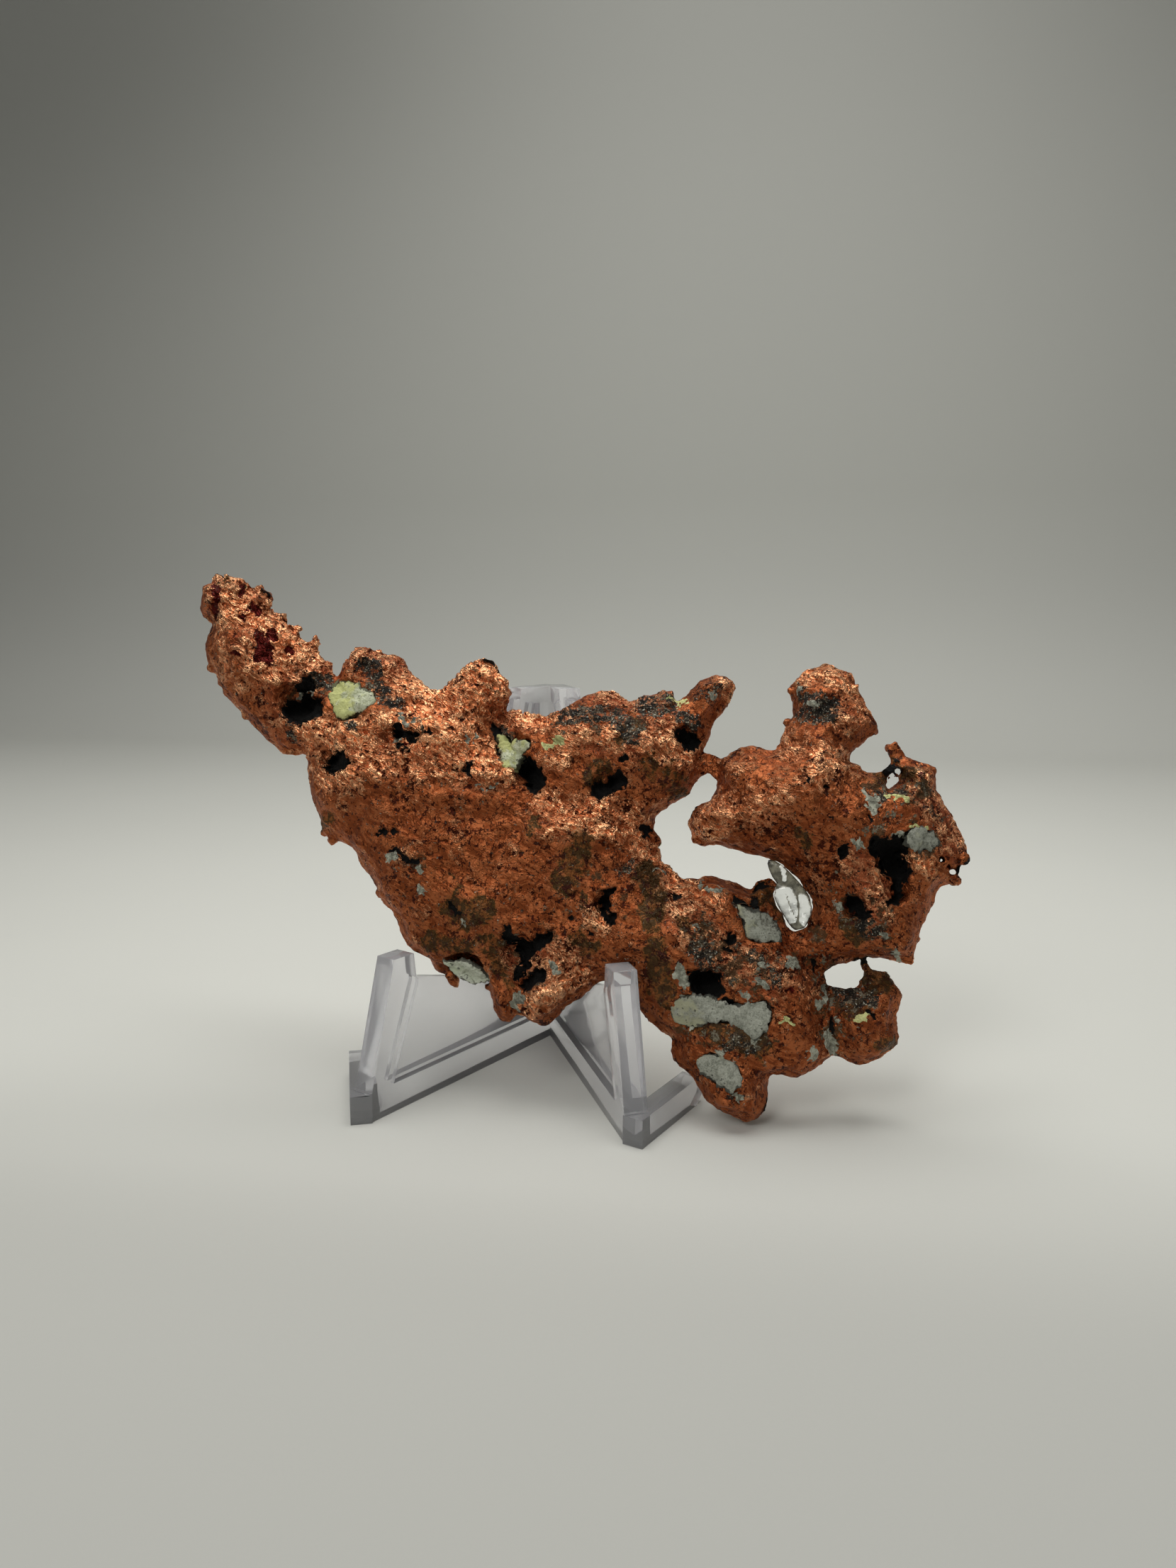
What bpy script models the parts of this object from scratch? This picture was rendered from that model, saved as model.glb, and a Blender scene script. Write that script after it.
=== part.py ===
"""A native copper nugget that rests on a small clear easel.

The nugget is a plate of copper about 139 mm long. It leans back in the easel, so its outline is given
in the plane of the plate: u runs along its length and v up its leaning face, both in millimetres.
Its front and back are reliefs over that outline. Stones sit in pockets of the front.
Everything is built in easel coordinates: x across, y towards the back, z up from the ground.
"""

import math
from collections import Counter

import bmesh
import bpy
import numpy as np
from mathutils import Matrix, Vector, noise
from mathutils.geometry import delaunay_2d_cdt

MM = 0.001
GAP = 0.3

# How the nugget sits in the easel.
LEAN = math.radians(15)
SEAT_Y = 10.1
SEAT_LIFT = 0.15

# Nugget relief.
FRONT_BULGE = 5.6
BACK_BULGE = 4.6
BULGE_REACH = 9.0
RIM_HALF = 0.45
RIM_STEP = 1.45
RING_DEPTHS = (0.75, 2.0)
RING_APART = 0.9
GRID_STEP = 2.3
GRID_APART = 1.43
FEATURE_APART = 0.75
RIM_CLEAR = 0.45
FADE_REACH = 2.2
# Roughness of each side: height, waves in a millimetre, pattern number.
FRONT_ROUGH = ((0.6, 0.16, 3.0), (0.42, 0.4, 8.0))
BACK_ROUGH = ((1.5, 0.075, 21.0), (0.6, 0.2, 27.0))

# Stones and the film.
STONE_STEP = 1.1
STONE_GRID = 1.3
STONE_APART = 0.8
STONE_SHOULDER = 1.2
STONE_ROUGH = ((0.3, 0.5, 41.0),)
POCKET_CUT = 6.0
FILM_STEP = 1.3
FILM_GRID = 1.6
FILM_EDGE_HALF = 0.45
FILM_SWELL = 0.5
FILM_SHOULDER = 2.5
FILM_ROUGH = ((0.12, 0.4, 55.0),)

# Easel.
EASEL_HEIGHT = 69.5
EASEL_DEPTH = 47.0
EASEL_HALF_WIDTH = 23.1
MEMBER = 4.0
WEB = 1.4
BAR_HEIGHT = 5.0
LIP_TOP = 26.4
LIP_DEPTH = 4.6
LEDGE_FRONT = 11.6
LEDGE_HEIGHT = 22.0
WING_TOP = 12.0
TOP_RIM = 3.0
LIP_STEEPNESS = 0.92
UPRIGHT_STEEPNESS = 1.03
STUB_ANGLE = math.radians(22)
STUB_THICKNESS = 3.6
STUB_PROFILE = ((-1.5, 0.0), (17.5, 0.0), (20.0, 1.8), (19.0, 4.8), (-1.5, 4.8))

ARM = (
    (-41.2, 81.4), (-42.4, 80.2), (-44.6, 82.2), (-46.7, 83.6), (-47.3, 85.3), (-51.0, 86.5),
    (-51.1, 88.7), (-52.8, 90.6), (-55.4, 90.6), (-57.1, 92.2), (-59.7, 93.4), (-62.3, 92.9),
    (-64.3, 90.9), (-65.0, 88.0), (-64.5, 85.3), (-62.6, 84.0), (-63.4, 81.1), (-63.1, 78.2),
    (-60.8, 74.2), (-58.3, 70.4), (-54.5, 66.8), (-49.9, 62.6), (-45.4, 59.4),
)
LEFT_EDGE = (
    (-41.6, 59.2), (-40.7, 55.1), (-38.7, 49.9), (-37.2, 45.3), (-33.9, 43.9), (-31.4, 43.2),
    (-28.9, 39.8), (-26.3, 36.2), (-25.4, 33.9), (-23.0, 31.8), (-21.7, 29.2), (-20.0, 26.0),
    (-15.9, 24.0), (-12.3, 22.2), (-10.8, 21.4), (-5.7, 20.2), (-4.8, 18.9), (-3.7, 16.9),
    (-2.3, 14.1), (-0.7, 13.9), (0.3, 15.3), (2.1, 15.1), (4.5, 13.7), (6.7, 14.3),
    (9.1, 17.4), (11.6, 18.9), (15.5, 22.1), (17.4, 21.3), (19.6, 20.1),
)
LOWER_RIGHT = (
    (21.0, 17.8), (24.4, 14.6), (27.3, 12.8), (27.6, 9.4), (31.2, 6.5), (33.8, 3.0),
    (37.3, 1.1), (40.0, 0.3), (41.8, 1.1), (43.4, 4.7), (43.5, 8.0), (45.5, 8.5),
    (48.4, 8.0), (51.6, 9.9), (53.9, 11.8), (56.2, 10.8), (58.2, 10.2), (63.2, 12.9),
    (64.6, 15.3), (63.6, 18.9), (64.5, 22.4), (62.6, 24.5), (59.9, 25.6), (58.8, 23.8),
    (55.1, 22.7), (52.4, 23.2), (52.1, 25.3), (55.0, 26.8), (58.2, 27.8), (59.1, 28.3),
)
RIGHT_EDGE = (
    (63.9, 27.5), (66.0, 27.1), (67.4, 32.8), (69.2, 36.6), (70.6, 40.2), (73.3, 40.5),
    (73.5, 43.4), (74.6, 45.5), (73.8, 48.6), (71.9, 52.6), (69.5, 56.1), (69.2, 59.6),
    (66.8, 60.4), (64.4, 61.6), (62.8, 64.0), (61.2, 63.2), (61.8, 60.6), (60.6, 59.0),
    (58.0, 58.6), (55.3, 60.3), (55.3, 61.7), (57.9, 64.1), (59.4, 64.7), (59.8, 66.7),
    (58.0, 70.0), (56.7, 73.5), (55.4, 76.0), (50.9, 77.6), (46.9, 75.7), (44.7, 72.7),
    (45.3, 71.2), (45.8, 67.8), (44.0, 64.8), (43.1, 61.8), (38.9, 62.7), (35.9, 61.4),
    (33.9, 60.3), (32.3, 61.0), (30.6, 61.4),
)
TOP_EDGE = (
    (31.1, 63.2), (32.4, 66.8), (35.3, 71.4), (35.5, 74.2), (32.4, 75.3), (28.9, 73.6),
    (27.6, 71.4), (25.9, 70.3), (24.7, 72.1), (20.1, 71.3), (17.5, 70.1), (14.5, 72.4),
    (10.1, 71.4), (5.7, 68.8), (2.0, 67.6), (-2.1, 67.8), (-3.4, 67.3), (-4.7, 64.8),
    (-5.4, 67.4), (-4.4, 68.2), (-4.0, 71.3), (-5.2, 74.2), (-7.2, 77.0), (-10.2, 77.7),
    (-14.2, 74.1), (-17.4, 71.5), (-20.4, 73.0), (-23.7, 75.8), (-24.5, 77.7), (-29.0, 79.1),
    (-33.1, 79.6), (-35.9, 75.9), (-36.3, 73.3), (-38.1, 75.7), (-40.3, 78.0),
)
BAY = (
    (29.9, 57.0), (28.6, 54.4), (25.2, 52.0), (23.0, 50.0), (22.6, 48.0), (23.9, 46.3),
    (23.2, 45.3), (25.2, 42.0), (28.2, 39.8), (33.6, 40.4), (37.2, 39.6), (39.6, 38.3),
    (40.6, 39.7), (42.6, 40.4), (43.8, 39.6), (43.4, 37.4), (45.0, 34.4), (46.9, 32.0),
    (48.5, 32.3), (49.6, 34.2), (49.4, 37.6), (46.9, 40.6), (44.5, 42.8), (42.3, 44.0),
    (38.8, 44.5), (36.4, 44.9), (33.8, 45.9), (31.0, 45.3), (29.4, 47.0), (28.9, 49.4),
    (29.6, 52.2), (32.2, 53.2), (33.4, 56.6), (31.8, 57.8),
)
PRONG_HOLE = ((61.8, 58.2), (62.7, 58.5), (63.3, 57.7), (62.9, 56.9), (62.0, 56.6), (61.5, 57.3))
OUTLINE = ARM + LEFT_EDGE + LOWER_RIGHT + RIGHT_EDGE + TOP_EDGE

# Each lump: u, v, radius, height above the plate's own bulge.
LUMPS = (
    (-60.3, 89.0, 3.6, 1.6), (-54.3, 78.0, 5.6, 2.0), (-47.6, 81.4, 2.6, 1.3), (-41.7, 77.5, 2.2, 1.2),
    (-53.0, 70.5, 4.0, 0.9), (-27.3, 76.3, 2.6, 1.2), (-9.8, 73.2, 4.4, 1.5), (-13.7, 62.0, 6.4, 1.3),
    (-26.8, 58.7, 4.1, 1.0), (-18.0, 45.6, 14.0, 0.9), (0.3, 41.3, 10.5, 0.8), (19.3, 64.2, 6.0, 1.4),
    (9.3, 64.4, 3.6, 0.9), (32.5, 72.5, 3.0, 1.8), (23.4, 56.6, 4.8, 1.4), (33.3, 49.6, 4.2, 2.3),
    (47.6, 54.9, 8.3, 2.4), (51.1, 71.5, 4.6, 1.9), (67.1, 53.3, 4.4, 1.5), (68.4, 41.0, 3.6, 1.8),
    (60.6, 31.5, 4.6, 1.6), (47.0, 24.5, 4.4, 1.3), (39.6, 24.5, 4.0, 1.0), (38.3, 4.9, 4.1, 1.6),
    (58.7, 17.4, 4.8, 2.0), (-4.3, 31.2, 6.0, 1.0), (-2.7, 17.0, 2.2, 1.7), (6.2, 19.4, 4.0, 2.6),
    (33.7, 36.8, 4.2, 1.7), (24.6, 30.1, 6.0, 1.2), (44.4, 13.2, 4.6, 1.4), (15.9, 27.4, 5.2, 1.2),
    (-35.7, 51.4, 3.5, 0.8), (30.8, 27.6, 3.0, 1.0), (57.0, 49.0, 3.6, 1.0), (62.8, 56.0, 2.4, 0.9),
)
# Each ridge or crease: points, half-width, height; a negative height is a crease.
CRESTS = (
    (((5.0, 46.0), (10.1, 47.6), (16.3, 46.8)), 1.9, 1.7),
    (((-31.0, 62.5), (-24.6, 65.4), (-13.9, 63.5), (-5.7, 56.6)), 2.1, 1.3),
    (((-33.0, 56.5), (-24.0, 54.6), (-13.5, 52.6), (-6.0, 51.6)), 1.5, 0.9),
    (((36.7, 56.8), (43.9, 55.4), (53.2, 58.9)), 2.0, 1.1),
    (((30.2, 41.6), (35.2, 40.6), (38.6, 39.0)), 1.6, 1.2),
    (((44.0, 36.4), (47.0, 30.0), (51.0, 26.0)), 1.8, -2.4),
    (((52.0, 24.0), (52.8, 18.0), (53.9, 12.6)), 1.6, -2.8),
    (((-4.7, 66.0), (-2.6, 61.5), (0.8, 56.8), (2.6, 52.4)), 1.9, -2.0),
    (((-37.0, 73.0), (-39.5, 70.0), (-43.0, 68.0)), 1.8, -1.6),
    (((-3.6, 29.0), (1.0, 22.0), (0.4, 16.0)), 1.6, -1.9),
    (((53.5, 47.5), (54.0, 41.0), (52.6, 34.5)), 1.8, -1.1),
    (((-62.6, 84.6), (-58.6, 85.8), (-57.0, 90.0)), 1.2, -1.0),
)
# Each cavity: u, v, radius, depth.
CAVITIES = (
    (-43.0, 68.8, 3.3, 3.2), (-35.6, 58.4, 2.0, 2.0), (-23.6, 62.7, 1.9, 1.9), (0.8, 56.6, 2.4, 2.6),
    (14.6, 55.6, 2.1, 2.4), (27.8, 64.0, 1.9, 2.0), (15.2, 34.9, 1.8, 1.9), (1.1, 26.4, 3.2, 2.6),
    (2.4, 21.4, 1.7, 2.0), (32.9, 22.9, 2.6, 2.8), (62.3, 43.8, 3.2, 3.6), (63.3, 39.2, 2.3, 2.6),
    (56.3, 36.1, 2.1, 1.8), (-30.4, 75.0, 2.2, 1.8), (-12.0, 31.5, 4.2, 0.9), (57.0, 62.6, 1.8, 1.0),
    (51.4, 68.8, 2.4, 1.1), (22.4, 47.4, 1.6, 1.2),
)

# Where the plate's middle bends out of its plane: u, v, radius, distance forwards.
BENDS = (
    (50.0, 54.0, 17.0, 2.6), (51.0, 76.0, 9.0, -2.8), (58.0, 17.0, 8.0, -2.6), (38.0, 5.0, 10.0, 1.6),
    (70.0, 42.0, 9.0, -2.2), (-20.0, 45.0, 20.0, 1.4), (-26.0, 78.0, 8.0, -1.2), (2.0, 16.0, 7.0, 1.2),
    (-60.0, 88.0, 12.0, -1.0), (33.0, 74.0, 6.0, -1.6),
)

# Stones: outline, how far it stands out, how deep its pocket is.
STONES = {
    "stone_upper_left": (
        ((-36.2, 70.0), (-35.4, 72.0), (-33.0, 72.5), (-30.3, 71.0), (-27.6, 69.8), (-27.3, 68.2),
         (-29.4, 66.8), (-32.0, 65.6), (-34.4, 67.2)), 0.5, 2.4),
    "stone_top_notch": (
        ((-5.2, 63.4), (-3.6, 63.3), (-2.4, 61.8), (0.9, 62.4), (1.2, 61.0), (-0.6, 60.0),
         (-1.4, 57.4), (-3.2, 57.6), (-3.4, 60.4)), 0.3, 2.2),
    "stone_lower_edge": (
        ((-12.0, 23.6), (-10.4, 24.6), (-6.6, 24.8), (-4.9, 22.2), (-4.9, 20.4), (-7.6, 19.6),
         (-10.6, 20.6)), -0.6, 2.6),
    "stone_middle_band": (
        ((28.3, 19.4), (30.1, 20.3), (33.1, 20.1), (36.7, 19.5), (40.2, 19.2), (42.5, 20.5),
         (43.4, 18.7), (42.6, 15.9), (40.3, 15.5), (37.9, 16.8), (34.4, 17.0), (30.9, 15.9),
         (28.7, 16.4)), 0.3, 2.2),
    "stone_triangle": (
        ((37.8, 35.4), (39.7, 35.1), (43.0, 33.4), (44.6, 30.9), (42.8, 30.0), (39.9, 30.4),
         (38.6, 33.0)), 0.4, 2.0),
    "stone_tip_patch": (
        ((32.4, 9.8), (34.0, 11.3), (35.8, 10.8), (38.2, 9.5), (38.9, 7.6), (37.1, 6.5),
         (34.7, 7.3)), 0.3, 1.8),
    "stone_right_side": (
        ((63.9, 47.9), (65.5, 49.0), (68.4, 48.6), (68.6, 46.9), (66.1, 46.1), (64.4, 46.7)), 0.4, 1.6),
}
CALCITE = (
    (42.7, 43.1), (44.2, 42.3), (46.4, 40.3), (48.8, 37.4), (49.1, 34.4), (48.2, 32.8), (47.1, 32.5),
    (45.5, 34.7), (44.0, 37.4), (44.4, 39.8), (43.5, 41.0),
)
# Balls of copper that carry the nugget on the ledges and against the upright: x, y, z, radius.
REST_KNOBS = (
    (-13.6, 18.4, 22.9, 3.0), (17.0, 16.8, 22.6, 2.0), (-4.2, 29.8, 62.5, 3.6), (4.4, 29.8, 62.5, 3.6),
)


def clear_scene():
    """Remove every object of the open scene."""
    for item in list(bpy.data.objects):
        bpy.data.objects.remove(item, do_unlink=True)


def principled(name, colour, roughness, metallic=0.0, transmission=0.0, ior=1.5):
    """A Principled material with the given colour and finish."""
    material = bpy.data.materials.new(name)
    material.use_nodes = True
    shader = material.node_tree.nodes["Principled BSDF"]
    shader.inputs["Base Color"].default_value = (*colour, 1.0)
    shader.inputs["Roughness"].default_value = roughness
    shader.inputs["Metallic"].default_value = metallic
    shader.inputs["Transmission Weight"].default_value = transmission
    shader.inputs["IOR"].default_value = ior
    material.diffuse_color = (*colour, 1.0)
    return material


def smooth_loop(points, step):
    """A closed Catmull-Rom curve through the points, with a point about every step."""
    ring = np.array(points, float)
    found = []
    for i in range(len(ring)):
        a, b, c, d = (ring[(i + k) % len(ring)] for k in (-1, 0, 1, 2))
        parts = max(1, round(float(np.linalg.norm(c - b)) / step))
        for k in range(parts):
            t = k / parts
            along = (c - a) * t + (2 * a - 5 * b + 4 * c - d) * t**2 + (3 * b - a - 3 * c + d) * t**3
            found.append(b + 0.5 * along)
    return np.array(found)


def edge_normals(loop):
    """The unit direction across the loop at each point, to its left."""
    run = np.roll(loop, -1, axis=0) - np.roll(loop, 1, axis=0)
    return np.stack([-run[:, 1], run[:, 0]], axis=1) / np.linalg.norm(run, axis=1)[:, None]


def grown(loop, by):
    """The loop moved outwards everywhere."""
    after = np.roll(loop, -1, axis=0)
    clockwise = float((loop[:, 0] * after[:, 1] - loop[:, 1] * after[:, 0]).sum()) < 0
    return loop + edge_normals(loop) * (by if clockwise else -by)


def rim_distance(points, loops):
    """Each point's distance to the nearest loop."""
    nearest = np.full(len(points), np.inf)
    for loop in loops:
        for start, end in zip(loop, np.roll(loop, -1, axis=0)):
            run = end - start
            share = np.clip((points - start) @ run / (run @ run), 0.0, 1.0)
            nearest = np.minimum(nearest, np.linalg.norm(points - start - share[:, None] * run, axis=1))
    return nearest


def is_inside(points, loops):
    """True for each point inside the first loop and outside the others."""
    inside = np.zeros(len(points), bool)
    for loop in loops:
        for start, end in zip(loop, np.roll(loop, -1, axis=0)):
            spans = (start[1] > points[:, 1]) != (end[1] > points[:, 1])
            rise = end[1] - start[1] if end[1] != start[1] else 1.0
            across = (end[0] - start[0]) * (points[:, 1] - start[1]) / rise + start[0]
            inside ^= spans & (points[:, 0] < across)
    return inside


def thinned(candidates, kept, least):
    """The candidates that stay at least this far from all kept points and from each other."""
    found = list(kept)
    added = []
    for point in candidates:
        if np.min(np.linalg.norm(np.array(found) - point, axis=1)) >= least:
            found.append(point)
            added.append(point)
    return added


def hexagon_grid(loop, step):
    """Points of a hexagonal grid over the loop's box."""
    low, high = loop.min(axis=0), loop.max(axis=0)
    rows = []
    for j in range(int((high[1] - low[1]) / (step * 0.866)) + 1):
        shift = step / 2 * (j % 2)
        for i in range(int((high[0] - low[0]) / step) + 1):
            rows.append((low[0] + shift + i * step, low[1] + j * step * 0.866))
    return np.array(rows)


def ring_points(loops, depth):
    """Points this far inside each loop's edge, where the plate is wide enough to hold them."""
    rows = []
    for loop in loops:
        side = edge_normals(loop)
        rows += [loop + side * depth, loop - side * depth]
    rows = np.concatenate(rows)
    fits = is_inside(rows, loops) & (rim_distance(rows, loops) > 0.9 * depth)
    return rows[fits]


def feature_points(features):
    """Extra points on the wall and floor of each round feature."""
    rows = []
    for u, v, radius, _ in features:
        rows.append((u, v))
        for share, count in ((0.55, 6), (1.05, 9)):
            for k in range(count):
                turn = 2 * math.pi * k / count
                rows.append((u + share * radius * math.cos(turn), v + share * radius * math.sin(turn)))
    return np.array(rows)


def plan_points(loops, extra, depths, grid, apart):
    """The rims' points, and the inner points on which the relief's heights are set."""
    rim = list(np.concatenate(loops))
    inner = []
    wanted = [(ring_points(loops, depth), RING_APART) for depth in depths]
    wanted += [(extra, FEATURE_APART), (hexagon_grid(loops[0], grid), apart)]
    for candidates, least in wanted:
        if len(candidates):
            fits = is_inside(candidates, loops) & (rim_distance(candidates, loops) > RIM_CLEAR)
            inner += thinned(candidates[fits], rim + inner, least)
    return np.array(rim + inner)


def triangulated(points, loops):
    """The points joined into triangles that keep the loops' edges and leave the holes open."""
    edges, start = [], 0
    for loop in loops:
        edges += [(start + i, start + (i + 1) % len(loop)) for i in range(len(loop))]
        start += len(loop)
    flat, _, faces, *_ = delaunay_2d_cdt([Vector(p) for p in points], edges, [], 0, 1e-6)
    flat = np.array([tuple(p) for p in flat])
    faces = np.array([f for f in faces if len(f) == 3])
    return flat, faces[is_inside(flat[faces].mean(axis=1), loops)]


def rim_edges(faces):
    """The edges that only one triangle has."""
    sides = Counter(tuple(sorted((face[i], face[(i + 1) % 3]))) for face in faces for i in range(3))
    return [side for side, count in sides.items() if count == 1]


def relief_body(name, loops, points, front, back):
    """A closed body over the loops: front and back give each point's height, met by a narrow rim."""
    flat, faces = triangulated(points, loops)
    away = rim_distance(flat, loops)
    mesh = bmesh.new()
    upper = [mesh.verts.new((u, -h, v)) for (u, v), h in zip(flat, front(flat, away))]
    lower = [mesh.verts.new((u, h, v)) for (u, v), h in zip(flat, back(flat, away))]
    for a, b, c in faces:
        mesh.faces.new((upper[a], upper[b], upper[c]))
        mesh.faces.new((lower[c], lower[b], lower[a]))
    for a, b in rim_edges(faces):
        mesh.faces.new((upper[a], upper[b], lower[b], lower[a]))
    for vertex in [v for v in mesh.verts if not v.link_faces]:
        mesh.verts.remove(vertex)
    bmesh.ops.triangulate(mesh, faces=[f for f in mesh.faces if len(f.verts) > 3])
    bmesh.ops.recalc_face_normals(mesh, faces=mesh.faces)
    return finished(name, mesh)


def finished(name, mesh):
    """The bmesh, in millimetres, as a smooth-shaded object in metres."""
    mesh.transform(Matrix.Scale(MM, 4))
    data = bpy.data.meshes.new(name)
    mesh.to_mesh(data)
    mesh.free()
    data.shade_smooth()
    item = bpy.data.objects.new(name, data)
    bpy.context.scene.collection.objects.link(item)
    return item


def seat(item):
    """Lean a body made in the plate's plane back into the easel."""
    place = Matrix.Translation((0.0, SEAT_Y * MM, SEAT_LIFT * MM)) @ Matrix.Rotation(-LEAN, 4, "X")
    item.data.transform(place)
    return item


def roughness(points, layers):
    """Fixed fractal noise over the plate, added up from its layers."""
    total = np.zeros(len(points))
    for height, scale, pattern in layers:
        places = [Vector((u * scale, v * scale, pattern)) for u, v in points]
        total += height * np.array([noise.fractal(place, 0.9, 2.0, 3) for place in places])
    return total


def crest(points, path, width, height):
    """The height of one ridge or crease at each point."""
    path = np.array(path, float)
    nearest = np.full(len(points), np.inf)
    for start, end in zip(path[:-1], path[1:]):
        run = end - start
        share = np.clip((points - start) @ run / (run @ run), 0.0, 1.0)
        nearest = np.minimum(nearest, np.linalg.norm(points - start - share[:, None] * run, axis=1))
    return height * np.exp(-((nearest / width) ** 2))


def bulge(away, height):
    """The plate's rounded edge: it swells from the rim to its full height at BULGE_REACH."""
    return RIM_HALF + height * np.sqrt(np.clip(away / BULGE_REACH, 0.0, 1.0))


def bend(points):
    """How far the plate's middle stands forward of its plane."""
    total = np.zeros(len(points))
    for u, v, radius, forward in BENDS:
        near = np.hypot(points[:, 0] - u, points[:, 1] - v) / radius
        total += forward * np.exp(-(near**2))
    return total


def front_height(points, away):
    """How far the copper's front stands before the plate's plane."""
    fade = np.clip(away / FADE_REACH, 0.0, 1.0)
    height = bulge(away, FRONT_BULGE)
    for u, v, radius, rise in LUMPS:
        near = np.hypot(points[:, 0] - u, points[:, 1] - v) / radius
        height = height + fade * rise * np.exp(-(near**2))
    for path, width, rise in CRESTS:
        height = height + fade * crest(points, path, width, rise)
    for u, v, radius, depth in CAVITIES:
        near = np.clip((np.hypot(points[:, 0] - u, points[:, 1] - v) / radius - 0.5) / 0.55, 0.0, 1.0)
        height = height - fade * depth * (1 - near * near * (3 - 2 * near))
    height = height + fade * roughness(points, FRONT_ROUGH)
    return np.maximum(height, RIM_HALF) + bend(points)


def back_height(points, away):
    """How far the copper's back stands behind the plate's plane: broad lumps and hollows."""
    fade = np.clip(away / FADE_REACH, 0.0, 1.0)
    rough = fade * roughness(points, BACK_ROUGH)
    return np.maximum(bulge(away, BACK_BULGE) + rough, RIM_HALF) - bend(points)


def nugget_loops():
    """The nugget's outer edge, then the edges of the openings through it."""
    return [smooth_loop(edge, RIM_STEP) for edge in (OUTLINE, BAY, PRONG_HOLE)]


def build_nugget():
    """The copper body, before its pockets are cut."""
    loops = nugget_loops()
    points = plan_points(loops, feature_points(CAVITIES), RING_DEPTHS, GRID_STEP, GRID_APART)
    return seat(relief_body("copper_nugget", loops, points, front_height, back_height))


def stone_body(name, outline, rise, depth, grow):
    """A stone, or with grow its pocket cutter, that follows the copper's front."""
    loop = grown(smooth_loop(outline, STONE_STEP), grow)
    rims = nugget_loops()

    def ground(points):
        away = rim_distance(points, rims) * is_inside(points, rims)
        return front_height(points, np.maximum(away, 0.5 * STONE_SHOULDER))

    def front(points, away):
        if grow:
            return ground(points) + POCKET_CUT
        dome = rise * np.clip(away / STONE_SHOULDER, 0.0, 1.0)
        return ground(points) + dome + roughness(points, STONE_ROUGH)

    def back(points, away):
        return -(ground(points) - depth - 2 * grow)

    points = plan_points([loop], np.empty((0, 2)), (0.8,), STONE_GRID, STONE_APART)
    return seat(relief_body(name, [loop], points, front, back))


def set_stones(nugget, material):
    """Cut a pocket for each stone and put the stone in it."""
    for name, (outline, rise, depth) in STONES.items():
        cutter = stone_body(name + "_cutter", outline, rise, depth, GAP)
        cut(nugget, cutter)
        stone = stone_body(name, outline, rise, depth, 0.0)
        stone.data.materials.append(material)


def cut(item, cutter, operation="DIFFERENCE"):
    """Apply one Boolean and remove its helper."""
    modifier = item.modifiers.new("cut", "BOOLEAN")
    modifier.object = cutter
    modifier.operation = operation
    modifier.solver = "EXACT"
    applied(item)
    bpy.data.objects.remove(cutter, do_unlink=True)


def applied(item):
    """Replace the object's mesh with the one its modifiers give."""
    graph = bpy.context.evaluated_depsgraph_get()
    result = bpy.data.meshes.new_from_object(item.evaluated_get(graph))
    old = item.data
    item.modifiers.clear()
    item.data = result
    bpy.data.meshes.remove(old)
    result.name = item.name


def add_knobs(nugget):
    """Fuse the knobs on which the nugget rests."""
    for x, y, z, radius in REST_KNOBS:
        mesh = bmesh.new()
        bmesh.ops.create_icosphere(mesh, subdivisions=2, radius=radius)
        mesh.transform(Matrix.Translation((x, y, z)))
        cut(nugget, finished("knob", mesh), "UNION")


def build_calcite():
    """The clear film in the window beside the bay, thicker in the middle."""
    loop = smooth_loop(CALCITE, FILM_STEP)

    def half(points, away):
        swell = FILM_SWELL * np.clip(away / FILM_SHOULDER, 0.0, 1.0)
        return FILM_EDGE_HALF + swell + roughness(points, FILM_ROUGH)

    def front(points, away):
        return half(points, away) + bend(points)

    def back(points, away):
        return half(points, away) - bend(points)

    points = plan_points([loop], np.empty((0, 2)), (0.9,), FILM_GRID, 1.0)
    return seat(relief_body("clear_calcite", [loop], points, front, back))


def extruded(name, profile, thickness, place):
    """A flat profile of (along, up) points, extruded evenly to both sides and then placed."""
    mesh = bmesh.new()
    near = [mesh.verts.new((s, -thickness / 2, z)) for s, z in profile]
    face = mesh.faces.new(near)
    far = bmesh.ops.extrude_face_region(mesh, geom=[face])
    moved = [item for item in far["geom"] if isinstance(item, bmesh.types.BMVert)]
    bmesh.ops.translate(mesh, verts=moved, vec=(0.0, thickness, 0.0))
    bmesh.ops.recalc_face_normals(mesh, faces=mesh.faces)
    mesh.transform(place)
    return finished(name, mesh)


def ledge_end(length):
    """Where the ledge meets the upright, along the arm and up."""
    slope = math.tan(LEAN)
    along = length - WING_TOP - (EASEL_HEIGHT - LEDGE_HEIGHT) * slope * UPRIGHT_STEEPNESS
    return along, LEDGE_HEIGHT - (along - LEDGE_FRONT) * slope


def arm_outline(length):
    """One arm from the side: base bar, tall wing, sloping upright, ledge and front lip."""
    slope = math.tan(LEAN)
    lip_front = LIP_TOP * slope * LIP_STEEPNESS
    return (
        (0.0, 0.0), (length, 0.0), (length, EASEL_HEIGHT), (length - WING_TOP, EASEL_HEIGHT),
        ledge_end(length), (LEDGE_FRONT, LEDGE_HEIGHT), (lip_front + LIP_DEPTH, LIP_TOP),
        (lip_front, LIP_TOP), (BAR_HEIGHT * slope / 2, BAR_HEIGHT), (0.0, BAR_HEIGHT),
    )


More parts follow.
